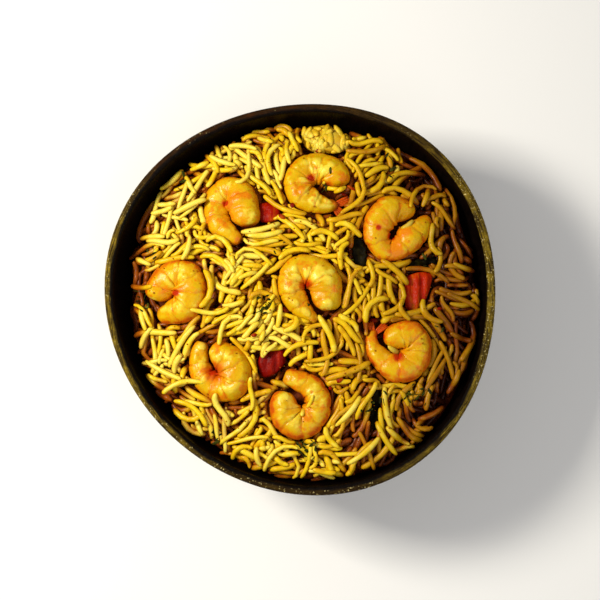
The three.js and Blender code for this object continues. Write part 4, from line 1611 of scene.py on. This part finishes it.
    def lay_one(self, layer: Layer, within: Triple | None = None) -> bool:
        """Lays the grain that fits lowest among a few draws.

        Args:
            layer: The layer being laid.
            within: Middle and radius of the place to fill, or None for the whole bowl.

        Returns:
            Whether a grain was laid.
        """
        pile, form = self.pile, self.form
        px, py, radius, length = self.courses(self.tries, layer, within)
        surface = np.maximum(pile.height, pile.roof - 0.35) if layer.overlap else pile.height
        pz = self.rest_heights(px, py, radius, length, surface, layer.squash)
        angle, distance = form.polar(px, py)
        wall = (form.wall_radius(np.minimum(pz, form.rim_z)) - radius[:, None] - 0.25) * form.lobe(angle)
        fits = (distance < wall).all(axis=1)
        cells = pile.index(px, py)
        fits &= ~pile.clear[cells].any(axis=1)
        roof, floor = pile.roof[cells], pile.floor[cells]
        if layer.overlap:
            lying = (roof > 0) & (pz > roof)
            share = lying.mean(axis=1)
            fits &= (share > self.over_shares[0]) & (share < self.over_shares[1])
        else:
            thick = radius[:, None] * 0.55
            fits &= ~((pz + thick > floor) & (pz - thick < roof)).any(axis=1)
        proud = pz - self.surface(px, py)
        fits &= proud.max(axis=1) < layer.top + 1.1
        fits &= (pz + radius[:, None]).max(axis=1) < self.highest
        if layer.above > 0:
            draws = self.random.uniform(0.0, 1.0, len(fits))
            fits &= draws > self.thinning * near_spots(px, py, self.hollows).mean(axis=1)
        if not fits.any():
            return False
        steep = np.abs(pz[:, -1] - pz[:, 0]) / length
        score = (proud.mean(axis=1) - layer.above) + 2.0 * held(steep - 0.3)
        score = np.where(fits, score, 99.0)
        best = int(np.argmin(score))
        places = np.column_stack([px[best], py[best], pz[best]])
        pile.add_tube(self.finer(places, 40), float(radius[best]))
        self.keep(places, float(radius[best]))
        return True

    def keep(self, places: Array, radius: float, paler: float = 0.0) -> None:
        """Takes a laid grain into the heap and gives it its tone.

        Args:
            places: Its course.
            radius: Its thickness.
            paler: How much paler it is than its neighbours.
        """
        x, y = places[:, 0].mean(), places[:, 1].mean()
        # the tone deepens to the right and over the hollows, partly the rice's own unevenness and partly
        # painted shade for the side away from the key light
        tone = 0.42 + 0.2 * (x / 60.0) + 0.16 * float(ripple(x, y, 7.0, 1.0)) - paler
        tone += float(self.random.normal(0, 0.13)) - 0.3 * float(near_spots(x, y, self.pales))
        tone += 0.12 * float(near_spots(x, y, self.hollows))
        kind = GrainKind.GOLDEN if tone < self.golden_below else GrainKind.DEEP
        if tone < self.lemon_below:
            kind = GrainKind.LEMON
        self.grains.append(Grain(places, radius, float(held(tone)), kind))

    def lay_single(
        self, x: float, y: float, heading: float, length: float, lift: float = 0.0, thick: float = 1.02,
        bend: float = 0.5, paler: float = 0.3,
    ) -> None:
        """Lays one grain on whatever is under it.

        Args:
            x: Its middle to the right.
            y: Its middle away from the viewer.
            heading: Its direction in degrees.
            length: Its length.
            lift: How much higher than at rest it lies.
            thick: Its radius.
            bend: How far it turns along its length, in radians.
            paler: How much paler it is than its neighbours.
        """
        turn = math.radians(heading) + np.linspace(-0.5, 0.5, self.samples) * bend
        step = length / (self.samples - 1)
        px, py = np.cumsum(np.cos(turn) * step)[None], np.cumsum(np.sin(turn) * step)[None]
        px, py = px + x - px.mean(), py + y - py.mean()
        angle, distance = self.form.polar(px, py)
        level = self.form.heap_height(px, py) - 1.5
        over = distance - (self.form.wall_radius(level) - thick - 0.4) * self.form.lobe(angle)
        far = np.unravel_index(int(np.argmax(over)), over.shape)
        if over[far] > 0:
            px = px - over[far] * np.cos(angle[far])
            py = py - over[far] * np.sin(angle[far])
        surface = np.maximum(self.pile.height, self.pile.roof - 0.6)
        radius = np.array([thick])
        pz = self.rest_heights(px, py, radius, np.array([length]), surface, 0.35) + lift
        pz -= max(0.0, float(pz.max()) + thick - self.highest)
        places = np.column_stack([px[0], py[0], pz[0]])
        self.pile.add_tube(self.finer(places, 40), thick)
        self.keep(places, thick, paler)

    @staticmethod
    def finer(places: Array, count: int) -> Array:
        """Gives more points along a grain's course."""
        old, new = np.linspace(0, 1, len(places)), np.linspace(0, 1, count)
        return np.stack([np.interp(new, old, column) for column in places.T], axis=1)

    def lay(self) -> None:
        """Lays every layer, then the few grains that lie over the toppings' edges."""
        for layer in self.layers:
            laid = sum(self.lay_one(layer) for _ in range(layer.count))
            LOG.info("layer of %d grains, %d laid", layer.count, laid)
        for tuft in self.tufts:
            self.lay_tuft(*tuft)
        for x, y, heading, length, bend in self.strays:
            self.lay_single(x, y, heading, length, 0.0, self.stray_radius, bend, self.stray_paler)
        for row in self.singles:
            self.lay_single(*row)
        laid = sum(self.lay_one(self.over) for _ in range(self.over.count))
        LOG.info("%d grains over the toppings' edges", laid)

    def lay_tuft(self, x: float, y: float, reach: float, count: int, spread: float) -> None:
        """Lays a raised bundle of short grains.

        Args:
            x: Its middle to the right.
            y: Its middle away from the viewer.
            reach: Its radius.
            count: Number of grains to try.
            spread: Spread of the grains' directions in degrees.
        """
        layer = Layer(count, spread, above=-3.0, top=5.6, lengths=(5.5, 9.5), squash=0.4)
        laid = sum(self.lay_one(layer, (x, y, reach)) for _ in range(count))
        LOG.info("bundle at %.0f, %.0f: %d grains laid", x, y, laid)

    def shape(self, grain: Grain) -> Array:
        """Gives the points of one grain: a blunt rounded rod along its course.

        Args:
            grain: The laid grain.

        Returns:
            Its points, from tip to tip.
        """
        travel = np.concatenate([[0.0], np.cumsum(np.linalg.norm(np.diff(grain.places, axis=0), axis=1))])
        length, radius = float(travel[-1]), grain.radius
        tips = np.array(self.tips) * min(1.0, length / 8.0)
        inner = np.linspace(tips[-1], length - tips[-1], 5)[1:-1]
        stops = np.concatenate([[0.0], tips, inner, length - tips[::-1], [length]])
        spine = np.stack([np.interp(stops, travel, column) for column in grain.places.T], axis=1)
        along = np.gradient(spine, axis=0)
        along /= np.linalg.norm(along, axis=1, keepdims=True)
        side = np.cross([0.0, 0.0, 1.0], along)
        side /= np.linalg.norm(side, axis=1, keepdims=True)
        up = np.cross(along, side)
        near = np.minimum(stops, length - stops)[1:-1]
        blunt = np.sqrt(held(1.0 - (1.0 - held(near / (1.35 * radius))) ** 2))
        along_it = 2.0 * stops[1:-1] / length - 1.0
        slim = 1.0 - 0.16 * along_it**2 - 0.09 * along_it * math.sin(7.0 * grain.places[0, 1])
        wobble = 1.0 + 0.07 * np.sin(10.0 * stops[1:-1] / length + grain.places[0, 0] * 3.0)
        wide = (radius * blunt * slim * wobble)[:, None, None]
        turns = np.arange(self.sides) * 2 * math.pi / self.sides
        rings = (
            spine[1:-1, None, :]
            + side[1:-1, None, :] * np.cos(turns)[None, :, None] * wide
            + up[1:-1, None, :] * np.sin(turns)[None, :, None] * wide * 0.9
        )
        return np.vstack([spine[:1], rings.reshape(-1, 3), spine[-1:]])

    def build_grains(self) -> None:
        """Joins the grains of each kind into one piece."""
        level = self.pile.envelope()
        finish = GrainFinish().build()
        for kind in GrainKind:
            chosen = [grain for grain in self.grains if grain.kind is kind]
            shapes = [self.shape(grain) for grain in chosen]
            places = np.concatenate(shapes)
            tones = np.repeat([grain.tone for grain in chosen], len(shapes[0]))
            top = level[self.pile.index(places[:, 0], places[:, 1])]
            x, y = places[:, 0], places[:, 1]
            # painted shade: sunk is how deep a point lies under the top grains, more over the hollows and to
            # the right, less at the pale places; the finish paints it darker
            right = held((x - self.right_shade_from) / self.right_shade_over)
            sunk = (top - places[:, 2] - self.shade_from) / self.shade_over
            sunk = sunk + (0.3 + 0.15 * right) * near_spots(x, y, self.hollows)
            sunk += 0.05 * right - 0.15 * near_spots(x, y, self.pales)
            self.join(kind, places, tones, held(sunk), finish)

    def faces(self) -> list[tuple[int, ...]]:
        """Gives the faces of one grain.

        Returns:
            Each face's points, counted from the grain's first.
        """
        found: list[tuple[int, ...]] = []
        rings = 2 * len(self.tips) + 3
        last = self.sides * rings + 1
        for k in range(self.sides):
            after = (k + 1) % self.sides
            found.append((0, 1 + after, 1 + k))
            for ring in range(rings - 1):
                a, b = 1 + ring * self.sides, 1 + (ring + 1) * self.sides
                found.append((a + k, a + after, b + after, b + k))
            top = 1 + (rings - 1) * self.sides
            found.append((top + k, top + after, last))
        return found

    def join(
        self, kind: GrainKind, places: Array, tones: Array, depths: Array, finish: Material
    ) -> None:
        """Makes one piece of all the grains of a kind.

        Args:
            kind: The kind.
            places: All their points.
            tones: Tone of each point.
            depths: Depth of each point in the heap.
            finish: The finish.
        """
        faces = self.faces()
        size = self.sides * (2 * len(self.tips) + 3) + 2
        data = bpy.data.meshes.new(kind.value)
        every = [tuple(v + size * n for v in face) for n in range(len(places) // size) for face in faces]
        data.from_pydata((places * MM).tolist(), [], every)
        for name, values in ((Attribute.TONE, tones), (Attribute.DEPTH, depths)):
            layer = data.attributes.new(name.value, "FLOAT", "POINT")
            layer.data.foreach_set("value", values.astype(np.float32))
        data.update()
        add_piece(kind.value, data, finish, ["rice"])


# ---------- masala lump
@dataclass
class MasalaLump:
    """A knobbly lump of rice stuck together with masala."""

    form: ShellForm
    x: float = 8.9
    y: float = 54.5
    length: float = 17.6
    width: float = 10.6
    height: float = 8.4
    lean: float = 0.4
    heading: float = -6.0
    knobs: int = 46
    knob_sizes: Sequence[Pair] = ((1.6, 3.8), (1.0, 1.4), (0.9, 1.15))
    bare: Pair = (6.5, 3.6)
    seed: int = 5

    def build(self, pile: Pile) -> Piece:
        """Shapes the lump and its knobs of short grains, and marks its space in the pile.

        Args:
            pile: The pile whose space the lump takes.

        Returns:
            The finished piece.
        """
        mesh = ball(72, 40)
        draw = np.random.default_rng(self.seed)
        unit = read_places(mesh)
        swell = 0.86 + 0.05 * ripple(unit[:, 0] * 9.0, unit[:, 1] * 9.0, 1.0, 0.5) * np.cos(unit[:, 2] * 5.0)
        write_places(mesh, unit * swell[:, None] * np.array([self.length, self.width, self.height]) / 2)
        # painted shade: the body under the knobs gets a higher depth, which the finish paints darker and more
        # orange
        sink = np.full(len(unit), 0.22)
        for _ in range(self.knobs):
            way = draw.normal(size=3)
            way[2] = abs(way[2]) * 0.9
            way /= np.linalg.norm(way)
            made = bmesh.ops.create_icosphere(mesh, subdivisions=2, radius=1.0)
            size = Matrix.Diagonal((*(draw.uniform(*limits) for limits in self.knob_sizes), 1.0))
            turn = Vector(way).to_track_quat("Z", "Y").to_matrix().to_4x4()
            roll = Matrix.Rotation(draw.uniform(0, math.pi), 4, "Z")
            turn @= roll @ Matrix.Rotation(draw.normal(0, 0.35), 4, "Y")
            place = way * (np.array([self.length, self.width, self.height]) / 2 - 1.05)
            bmesh.ops.transform(mesh, matrix=Matrix.Translation(place) @ turn @ size, verts=made["verts"])
            sink = np.concatenate([sink, np.full(len(made["verts"]), draw.uniform(0.0, 0.12))])
        places = read_places(mesh)
        turn = math.radians(self.heading)
        x = self.x + places[:, 0] * math.cos(turn) - places[:, 1] * math.sin(turn)
        y = self.y + places[:, 0] * math.sin(turn) + places[:, 1] * math.cos(turn)
        middle = self.form.heap_height(np.array(self.x), np.array(self.y))
        z = places[:, 2] + (1 - self.lean) * middle + self.lean * self.form.heap_height(x, y)
        settled = settle_on_node(np.column_stack([x, y, z]), "masala_lump")
        write_places(mesh, settled * MM)
        write_attribute(mesh, Attribute.TONE, 0.3 + 0.25 * ripple(x, y, 1.4, 2.0))
        write_attribute(mesh, Attribute.DEPTH, sink)
        spine = np.array([
            [self.x + step * math.cos(turn), self.y + step * math.sin(turn), settled[:, 2].mean()]
            for step in np.linspace(-4.5, 4.5, 12)
        ])
        pile.block(spine, np.full(12, 5.0), 0.8, 0.2)
        angles = np.linspace(0, 2 * math.pi, 16, endpoint=False)
        long, wide = self.bare
        pile.keep_clear(np.column_stack([self.x + long * np.cos(angles), self.y + wide * np.sin(angles)]))
        finish = GrainFinish("masala_rice", lemon=(0.80, 0.54, 0.03), golden=(0.72, 0.40, 0.008))
        return add_piece("masala_lump_rice", mesh, finish.build(), ["masala_lump"])


# ---------- small scattered things
@dataclass
class Scatter:
    """Many small things of one kind that lie on the heap, joined into one piece."""

    pile: Pile
    seed: int
    sink: float = 0.3
    highest: float = 59.6

    def __post_init__(self) -> None:
        """Starts the seeded draw and the empty mesh."""
        self.random = np.random.default_rng(self.seed)
        self.mesh = bmesh.new()

    def level(self, x: float, y: float) -> float:
        """Gives the height of the heap and its toppings at a place."""
        i, j = self.pile.index(np.array([x]), np.array([y]))
        return float(max(self.pile.height[i[0], j[0]], self.pile.roof[i[0], j[0]] - 0.3))

    def covered(self, x: float, y: float) -> bool:
        """Tells whether a topping is uppermost at a place."""
        i, j = self.pile.index(np.array([x]), np.array([y]))
        return bool(self.pile.roof[i[0], j[0]] > self.pile.height[i[0], j[0]])

    def lie(self, made: dict, x: float, y: float, size: Triple, tilt: float = 0.5) -> None:
        """Puts one small thing on the heap, turned and tilted at random.

        Args:
            made: What a bmesh operator returned.
            x: Its place to the right.
            y: Its place away from the viewer.
            size: Its three sizes in millimetres.
            tilt: Largest tilt in radians.
        """
        turn = Matrix.Rotation(self.random.uniform(0, 2 * math.pi), 4, "Z")
        lean = Matrix.Rotation(self.random.uniform(-tilt, tilt), 4, "X")
        rise = min(self.level(x, y) + size[2] * 0.5 - self.sink, self.highest - max(size) * 0.5)
        shape = Matrix.Diagonal((*size, 1.0))
        matrix = Matrix.Scale(MM, 4) @ Matrix.Translation((x, y, rise)) @ turn @ lean @ shape
        bmesh.ops.transform(self.mesh, matrix=matrix, verts=made["verts"])

    def lumpy(self, made: dict, amount: float) -> None:
        """Makes a ball of unit width uneven."""
        for vertex in made["verts"]:
            vertex.co *= 1.0 + float(self.random.uniform(-amount, amount))


@dataclass
class TomatoBits(Scatter):
    """Small slivers and bits of cooked tomato between the grains."""

    sink: float = 0.75
    bits: Sequence[tuple[float, float, float, float]] = (
        (17.2, 36.6, 3.4, 1), (15, 35, 2.6, 1), (-4.7, -4.4, 3, 2), (13, -27.5, 2.6, 1.8),
        (-28.3, -24, 4.2, 3.2), (1, 0.6, 3, 2.4), (31.5, -20.5, 3.4, 2.4), (-22.8, 27.2, 2.6, 1.8),
        (-2.6, 30.6, 2.2, 1.6), (6.3, 50.4, 3, 1.8), (24.5, -7.6, 3.2, 1.8), (-15, -13, 2, 1.4),
        (10, -30, 1.8, 1.2), (-6, 26.6, 2.6, 1.6), (46, -4, 1.8, 1.3), (-33.5, -8.5, 1.8, 1.2),
    )

    def build(self) -> Piece:
        """Makes the bits.

        Returns:
            The finished piece.
        """
        for x, y, length, width in self.bits:
            made = bmesh.ops.create_icosphere(self.mesh, subdivisions=2, radius=0.5)
            self.lumpy(made, 0.13)
            self.lie(made, x, y, (length, width, 1.1), 0.3)
        finish = TomatoFinish(
            "tomato_bits_flesh", (0.27, 0.009, 0.0004), (0.46, 0.08, 0.001), (0.12, 0.002, 0.0003),
        )
        return add_piece("tomato_bits", self.mesh, finish.build())


@dataclass
class MasalaCrumbs(Scatter):
    """Small crumbs of masala that cling to the grains and the shrimps."""

    count: int = 260
    sink: float = 0.14

    def build(self) -> Piece:
        """Makes the crumbs.

        Returns:
            The finished piece.
        """
        form = self.pile.form
        for _ in range(self.count):
            angle, share = self.random.uniform(0, 2 * math.pi), math.sqrt(self.random.uniform(0, 0.86))
            x, y = form.axis_x + 58 * share * math.cos(angle), form.axis_y + 58 * share * math.sin(angle)
            made = bmesh.ops.create_icosphere(self.mesh, subdivisions=1, radius=0.5)
            self.lumpy(made, 0.16)
            size = self.random.uniform(0.25, 0.6)
            self.lie(made, x, y, (size * 1.3, size, size * 0.8))
        finish = BedFinish("masala_crumbs", (0.60, 0.26, 0.01), (0.44, 0.14, 0.005), (0.26, 0.06, 0.003))
        return add_piece("masala_crumbs", self.mesh, finish.build())


@dataclass
class HerbFlecks(Scatter):
    """Chopped herb: small curled flecks and thin stalks about the leaves."""

    spots: Sequence[tuple[float, float, float, int]] = (
        (-52, -1, 4, 12), (-11, -2.6, 3, 16), (1.5, -50, 4, 18), (38, -32, 4, 16), (25, -36, 4, 14),
        (19.5, 13, 3, 6), (42, 12.5, 3, 8), (2.8, -1.8, 1.6, 8), (-28, -46, 3, 7), (9, 43, 1, 2),
        (-40, 40, 3, 4), (45, -12, 3, 4), (-6, 16, 4, 4), (7, 38, 1.5, 4), (-50, 14, 3, 4), (30, 44, 3, 4),
    )

    def fleck(self, x: float, y: float) -> None:
        """Adds one curled fleck of leaf.

        Args:
            x: Its place to the right.
            y: Its place away from the viewer.
        """
        made = bmesh.ops.create_icosphere(self.mesh, subdivisions=2, radius=0.5)
        for vertex in made["verts"]:
            vertex.co.y += 0.35 * math.sin(vertex.co.x * 3.0)
            vertex.co.z += 0.5 * vertex.co.x**2
        self.lumpy(made, 0.08)
        length = self.random.uniform(1.0, 2.6)
        self.lie(made, x, y, (length, length * self.random.uniform(0.3, 0.6), 0.4), 0.6)

    def stalk(self, x: float, y: float) -> None:
        """Adds one thin curved stalk.

        Args:
            x: Its place to the right.
            y: Its place away from the viewer.
        """
        made = bmesh.ops.create_uvsphere(self.mesh, u_segments=6, v_segments=10, radius=0.5)
        curl = self.random.uniform(-1.2, 1.2)
        for vertex in made["verts"]:
            t = vertex.co.z * 2.0
            vertex.co = Vector((t * 0.5, vertex.co.x * 0.09 + curl * 0.14 * t * t, vertex.co.y * 0.9))
        self.lie(made, x, y, (self.random.uniform(3.0, 5.5), 3.0, 0.32), 0.25)

    def build(self) -> Piece:
        """Makes the flecks and stalks.

        Returns:
            The finished piece.
        """
        for x, y, reach, count in self.spots:
            for k in range(count):
                place = (x + self.random.normal(0, reach * 0.55), y + self.random.normal(0, reach * 0.55))
                if reach > 2 and self.covered(*place):
                    continue
                if k % 3 == 2:
                    self.stalk(*place)
                else:
                    self.fleck(*place)
        finish = LeafFinish("chopped_herb", (0.008, 0.008, 0.001), (0.045, 0.048, 0.003), (0.26, 0.25, 0.02))
        return add_piece("herb_flecks", self.mesh, finish.build())


# ---------- stage
@dataclass(frozen=True)
class Lamp:
    """A soft square light."""

    name: str
    power: float
    size: float
    place: Triple
    colour: Colour

    def build(self, target: Triple) -> None:
        """Adds the light.

        Args:
            target: The place that it points at.
        """
        data = bpy.data.lights.new(self.name, "AREA")
        data.energy, data.size, data.color = self.power, self.size, self.colour
        lamp = bpy.data.objects.new(self.name, data)
        lamp.location = self.place
        lamp.rotation_euler = (Vector(target) - Vector(self.place)).to_track_quat("-Z", "Y").to_euler()
        bpy.context.scene.collection.objects.link(lamp)


@dataclass
class Studio:
    """Floor, lights and camera, in metres and watts."""

    elevation: float = 84.0
    lens: float = 85.0
    sensor_width: float = 36.0
    view_width: float = 0.1987
    target: Triple = (0.0, -0.001, 0.053)
    floor_radius: float = 3.0
    surroundings: float = 0.26
    lamps: Sequence[Lamp] = (
        Lamp("key", 2.2, 0.11, (-0.285, 0.085, 0.375), (1.0, 0.945, 0.82)),
        Lamp("fill", 3.0, 0.9, (0.4, -0.4, 0.8), (1.0, 0.97, 0.92)),
    )

    def build(self) -> None:
        """Sets up the floor, the lights and the camera."""
        mesh = bmesh.new()
        bmesh.ops.create_circle(mesh, cap_ends=True, segments=96, radius=self.floor_radius)
        data = bpy.data.meshes.new("floor")
        mesh.to_mesh(data)
        mesh.free()
        data.materials.append(FloorFinish().build())
        floor = bpy.data.objects.new("floor", data)
        bpy.context.scene.collection.objects.link(floor)
        for lamp in self.lamps:
            lamp.build(self.target)
        world = bpy.data.worlds.new("studio")
        world.use_nodes = True
        background = world.node_tree.nodes["Background"]
        background.inputs["Color"].default_value = (1.0, 1.0, 1.0, 1.0)
        background.inputs["Strength"].default_value = self.surroundings
        bpy.context.scene.world = world
        self.camera()
        bpy.context.scene.view_settings.view_transform = "Standard"

    def camera(self) -> None:
        """Adds the camera at the photograph's viewing angle."""
        data = bpy.data.cameras.new("camera")
        data.lens, data.sensor_width = self.lens, self.sensor_width
        distance = self.view_width * self.lens / data.sensor_width
        up = math.radians(self.elevation)
        target = Vector(self.target)
        camera = bpy.data.objects.new("camera", data)
        camera.location = target + Vector((0.0, -math.cos(up), math.sin(up))) * distance
        camera.rotation_euler = (math.pi / 2 - up, 0.0, 0.0)
        bpy.context.scene.collection.objects.link(camera)
        bpy.context.scene.camera = camera


# ---------- the dish
@dataclass
class Toppings:
    """Shrimps, tomato and herbs as they lie on the heap, from sizes in millimetres."""

    form: ShellForm
    pile: Pile
    shrimps: Sequence[Sequence[Triple]] = (
        ((-17.3, 23.6, 4.1), (-17.8, 28.6, 4.3), (-19.5, 34.8, 4.3), (-23.7, 37.2, 3.9), (-27.9, 34.8, 3.5),
         (-29, 29.8, 3.2), (-27.7, 24.6, 3.2), (-23.9, 21.4, 2.9), (-19.6, 18.8, 2.3)),
        ((12.8, 37.3, 3.9), (11.9, 42, 4.3), (7.3, 45, 3.9), (1.7, 44.4, 3.8), (-1.5, 39.8, 3.8),
         (-0.3, 34.2, 3.7), (4.7, 31.4, 3.1), (8.9, 30.9, 2.5), (12.6, 31.1, 1.6)),
        ((38.4, 29, 2.6), (34.6, 29.8, 3.6), (29.8, 29.8, 4.3), (25.7, 25.5, 4.1), (25, 19.5, 3.5),
         (28.5, 15, 2.9), (33.3, 16, 3.1), (37.4, 19.8, 4), (40.9, 24, 3.3), (43, 27.6, 1.9)),
        ((-48.6, -0.6, 4), (-46.4, 4.6, 4.4), (-42.2, 8.4, 4.1), (-37, 7.4, 4.3), (-35.1, 1.8, 4.4),
         (-38, -3.9, 4.2), (-42.7, -5.1, 3.6), (-47.2, -5.5, 2.7)),
        ((9.3, -4.8, 4), (9.2, -0.2, 4.4), (8.7, 5.2, 4.7), (4.3, 9.4, 4.1), (-1, 9.4, 3.9),
         (-3.8, 5.2, 3.5), (-2.9, 0.2, 3.4), (0.6, -4.4, 3), (5.4, -8.7, 2.2)),
        ((-29.4, -17.2, 3.3), (-25.5, -18.9, 4.1), (-21, -22.8, 4.5), (-21.6, -29.1, 4.6),
         (-27.2, -30.4, 3.8), (-32.2, -27, 3.4), (-33.8, -21.5, 3), (-32.6, -14.5, 2.4)),
        ((-4.2, -31.4, 3.5), (-5.4, -35.5, 4.5), (-4, -40.6, 4.6), (0.7, -42.6, 4.4), (5.2, -39.2, 4),
         (6.4, -34.2, 3.7), (4.1, -29.7, 3.5), (-0.3, -27.6, 3.2), (-5.3, -26, 2.8)),
        ((28.9, -16.2, 3.2), (32.3, -12.9, 4.2), (37, -12.8, 4.6), (39.4, -17.5, 4.1), (36.7, -22.8, 4.4),
         (31.7, -24.2, 4.1), (27, -21.3, 3.2), (23.9, -16.8, 2.5), (23.7, -13.4, 1.9), (24.9, -10.9, 1.2)),
    )
    redness: Sequence[float] = (0.6, 0.4, 0.85, 1.0, 0.4, 0.6, 1.1, 1.0)
    knobs: Sequence[float] = (0.9, 1.8, 0.5, 1.1, 1.7, 1.4, 1.1, 0.6)
    inward: Sequence[float] = (1.6, 1.6, 1.35, 1.6, 1.4, 1.4, 1.25, 1.35)
    # red juice about the holes: number of the shrimp, x, y, radius
    stains: Sequence[tuple[int, float, float, float]] = (
        (1, -25, 31.5, 1.3), (1, -18.7, 22.5, 2), (2, 3.7, 40, 1.6), (2, 9, 37.4, 2),
        (3, 30.4, 20.2, 1.6), (3, 33.3, 24.6, 1.3), (3, 26, 22.8, 1.1), (4, -41.2, 1.2, 1.5),
        (5, 1.7, 3.4, 2.4), (6, -28, -25, 3.8), (7, -0.2, -33.7, 2.4), (8, 32.2, -19.9, 2.3),
        (8, 26.5, -13, 2),
    )
    fins: Sequence[tuple[int, float, float, float, float, float]] = (
        (2, 13.9, 32.1, 6.6, 2.8, 19), (2, 12.4, 29.6, 5, 2.8, -47),
        (8, 26.8, -10.4, 5.8, 2.4, 40), (8, 23.7, -10.2, 4.8, 2.2, 108),
    )
    leaves: Sequence[tuple[Sequence[Pair], float, float]] = (
        (((19, 20.3), (19.6, 16.5), (20.2, 12.5), (21.3, 9.4)), 4.6, 0.5),
        (((35.4, 10.9), (39, 11.6), (43, 12.9), (46.4, 12.2)), 2.6, 0.6),
        (((25.3, -29.6), (25.1, -34), (24.7, -38.4), (24.3, -43)), 3.4, 0.7),
        (((-52.4, 3.2), (-53, 0.4), (-52.6, -2.4), (-51.2, -5)), 2.4, 0.4),
        (((-13.4, -3.4), (-11, -2.4), (-8.6, -0.8)), 2.6, 0.35),
        (((-1.4, -49), (1, -49.8), (3.6, -51.4)), 3.0, 0.4),
    )

    def build(self) -> None:
        """Builds every topping and marks its space in the pile."""
        flesh = ShrimpFinish().build()
        rows = zip(self.shrimps, self.redness, self.knobs, self.inward)
        for number, (body, redness, knobs, inward) in enumerate(rows, start=1):
            fins = [row[1:] for row in self.fins if row[0] == number]
            stains = [row[1:] for row in self.stains if row[0] == number]
            shrimp = CurledShrimp(f"shrimp_{number}", body, fins, redness, knobs, inward, stains, seed=number)
            shrimp.build(self.form, self.pile, flesh)
        self.build_tomatoes()
        herb = LeafFinish().build()
        for number, (rib, width, wave) in enumerate(self.leaves, start=1):
            HerbLeaf(f"leaf_{number}", rib, width, wave, number <= 3).build(self.form, self.pile, herb)

    def build_tomatoes(self) -> None:
        """Builds the three pieces of tomato, each of its own redness."""
        clear = TomatoFinish(
            "tomato_flesh", (0.34, 0.007, 0.0004), (0.50, 0.075, 0.001), (0.16, 0.002, 0.0003),
        )
        bright = TomatoFinish(
            "tomato_skin", (0.44, 0.022, 0.0005), (0.60, 0.125, 0.001), (0.30, 0.004, 0.0003),
        )
        dark = TomatoFinish(
            "tomato_inside", (0.20, 0.002, 0.0003), (0.33, 0.012, 0.0005), (0.08, 0.001, 0.0002),
        )
        corner = ((-13.4, 32), (-7.6, 32), (-6.6, 28.4), (-7.8, 25.8), (-13.2, 25.6))
        wedge = (
            (36, 7.4), (40, 8.6), (43.9, 8), (43.4, 3.6), (41.2, -1.8), (37.4, -6.2), (34.7, -2), (34.2, 3.6),
        )
        chunk = ((-11.6, -17.6), (-5.2, -17.4), (-4.8, -21.2), (-8.6, -25.6), (-12.2, -26.4), (-14, -21.8))
        pieces = (
            TomatoPiece("tomato_1", corner, 3.6, 0.2, "tomato_dark", clear),
            TomatoPiece("tomato_2", wedge, 4.2, 0.6, "tomato_bright", bright),
            TomatoPiece("tomato_3", chunk, 4.0, 0.3, "tomato_dark", dark, 0.6),
        )
        for piece in pieces:
            piece.build(self.form, self.pile)


def main() -> None:
    logging.basicConfig(level=logging.INFO, format="%(name)s: %(message)s")
    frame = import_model()
    LOG.info("frame of %d nodes", len(frame["nodes"]))
    form = ShellForm()
    pile = Pile(form)
    CoconutBowl(form).build()
    Toppings(form, pile).build()
    MasalaLump(form).build(pile)
    heap = RiceHeap(form, pile)
    heap.build_bed()
    heap.lay()
    heap.build_grains()
    TomatoBits(pile, 31).build()
    MasalaCrumbs(pile, 32).build()
    HerbFlecks(pile, 33).build()
    Studio().build()


if __name__ == "__main__":
    main()
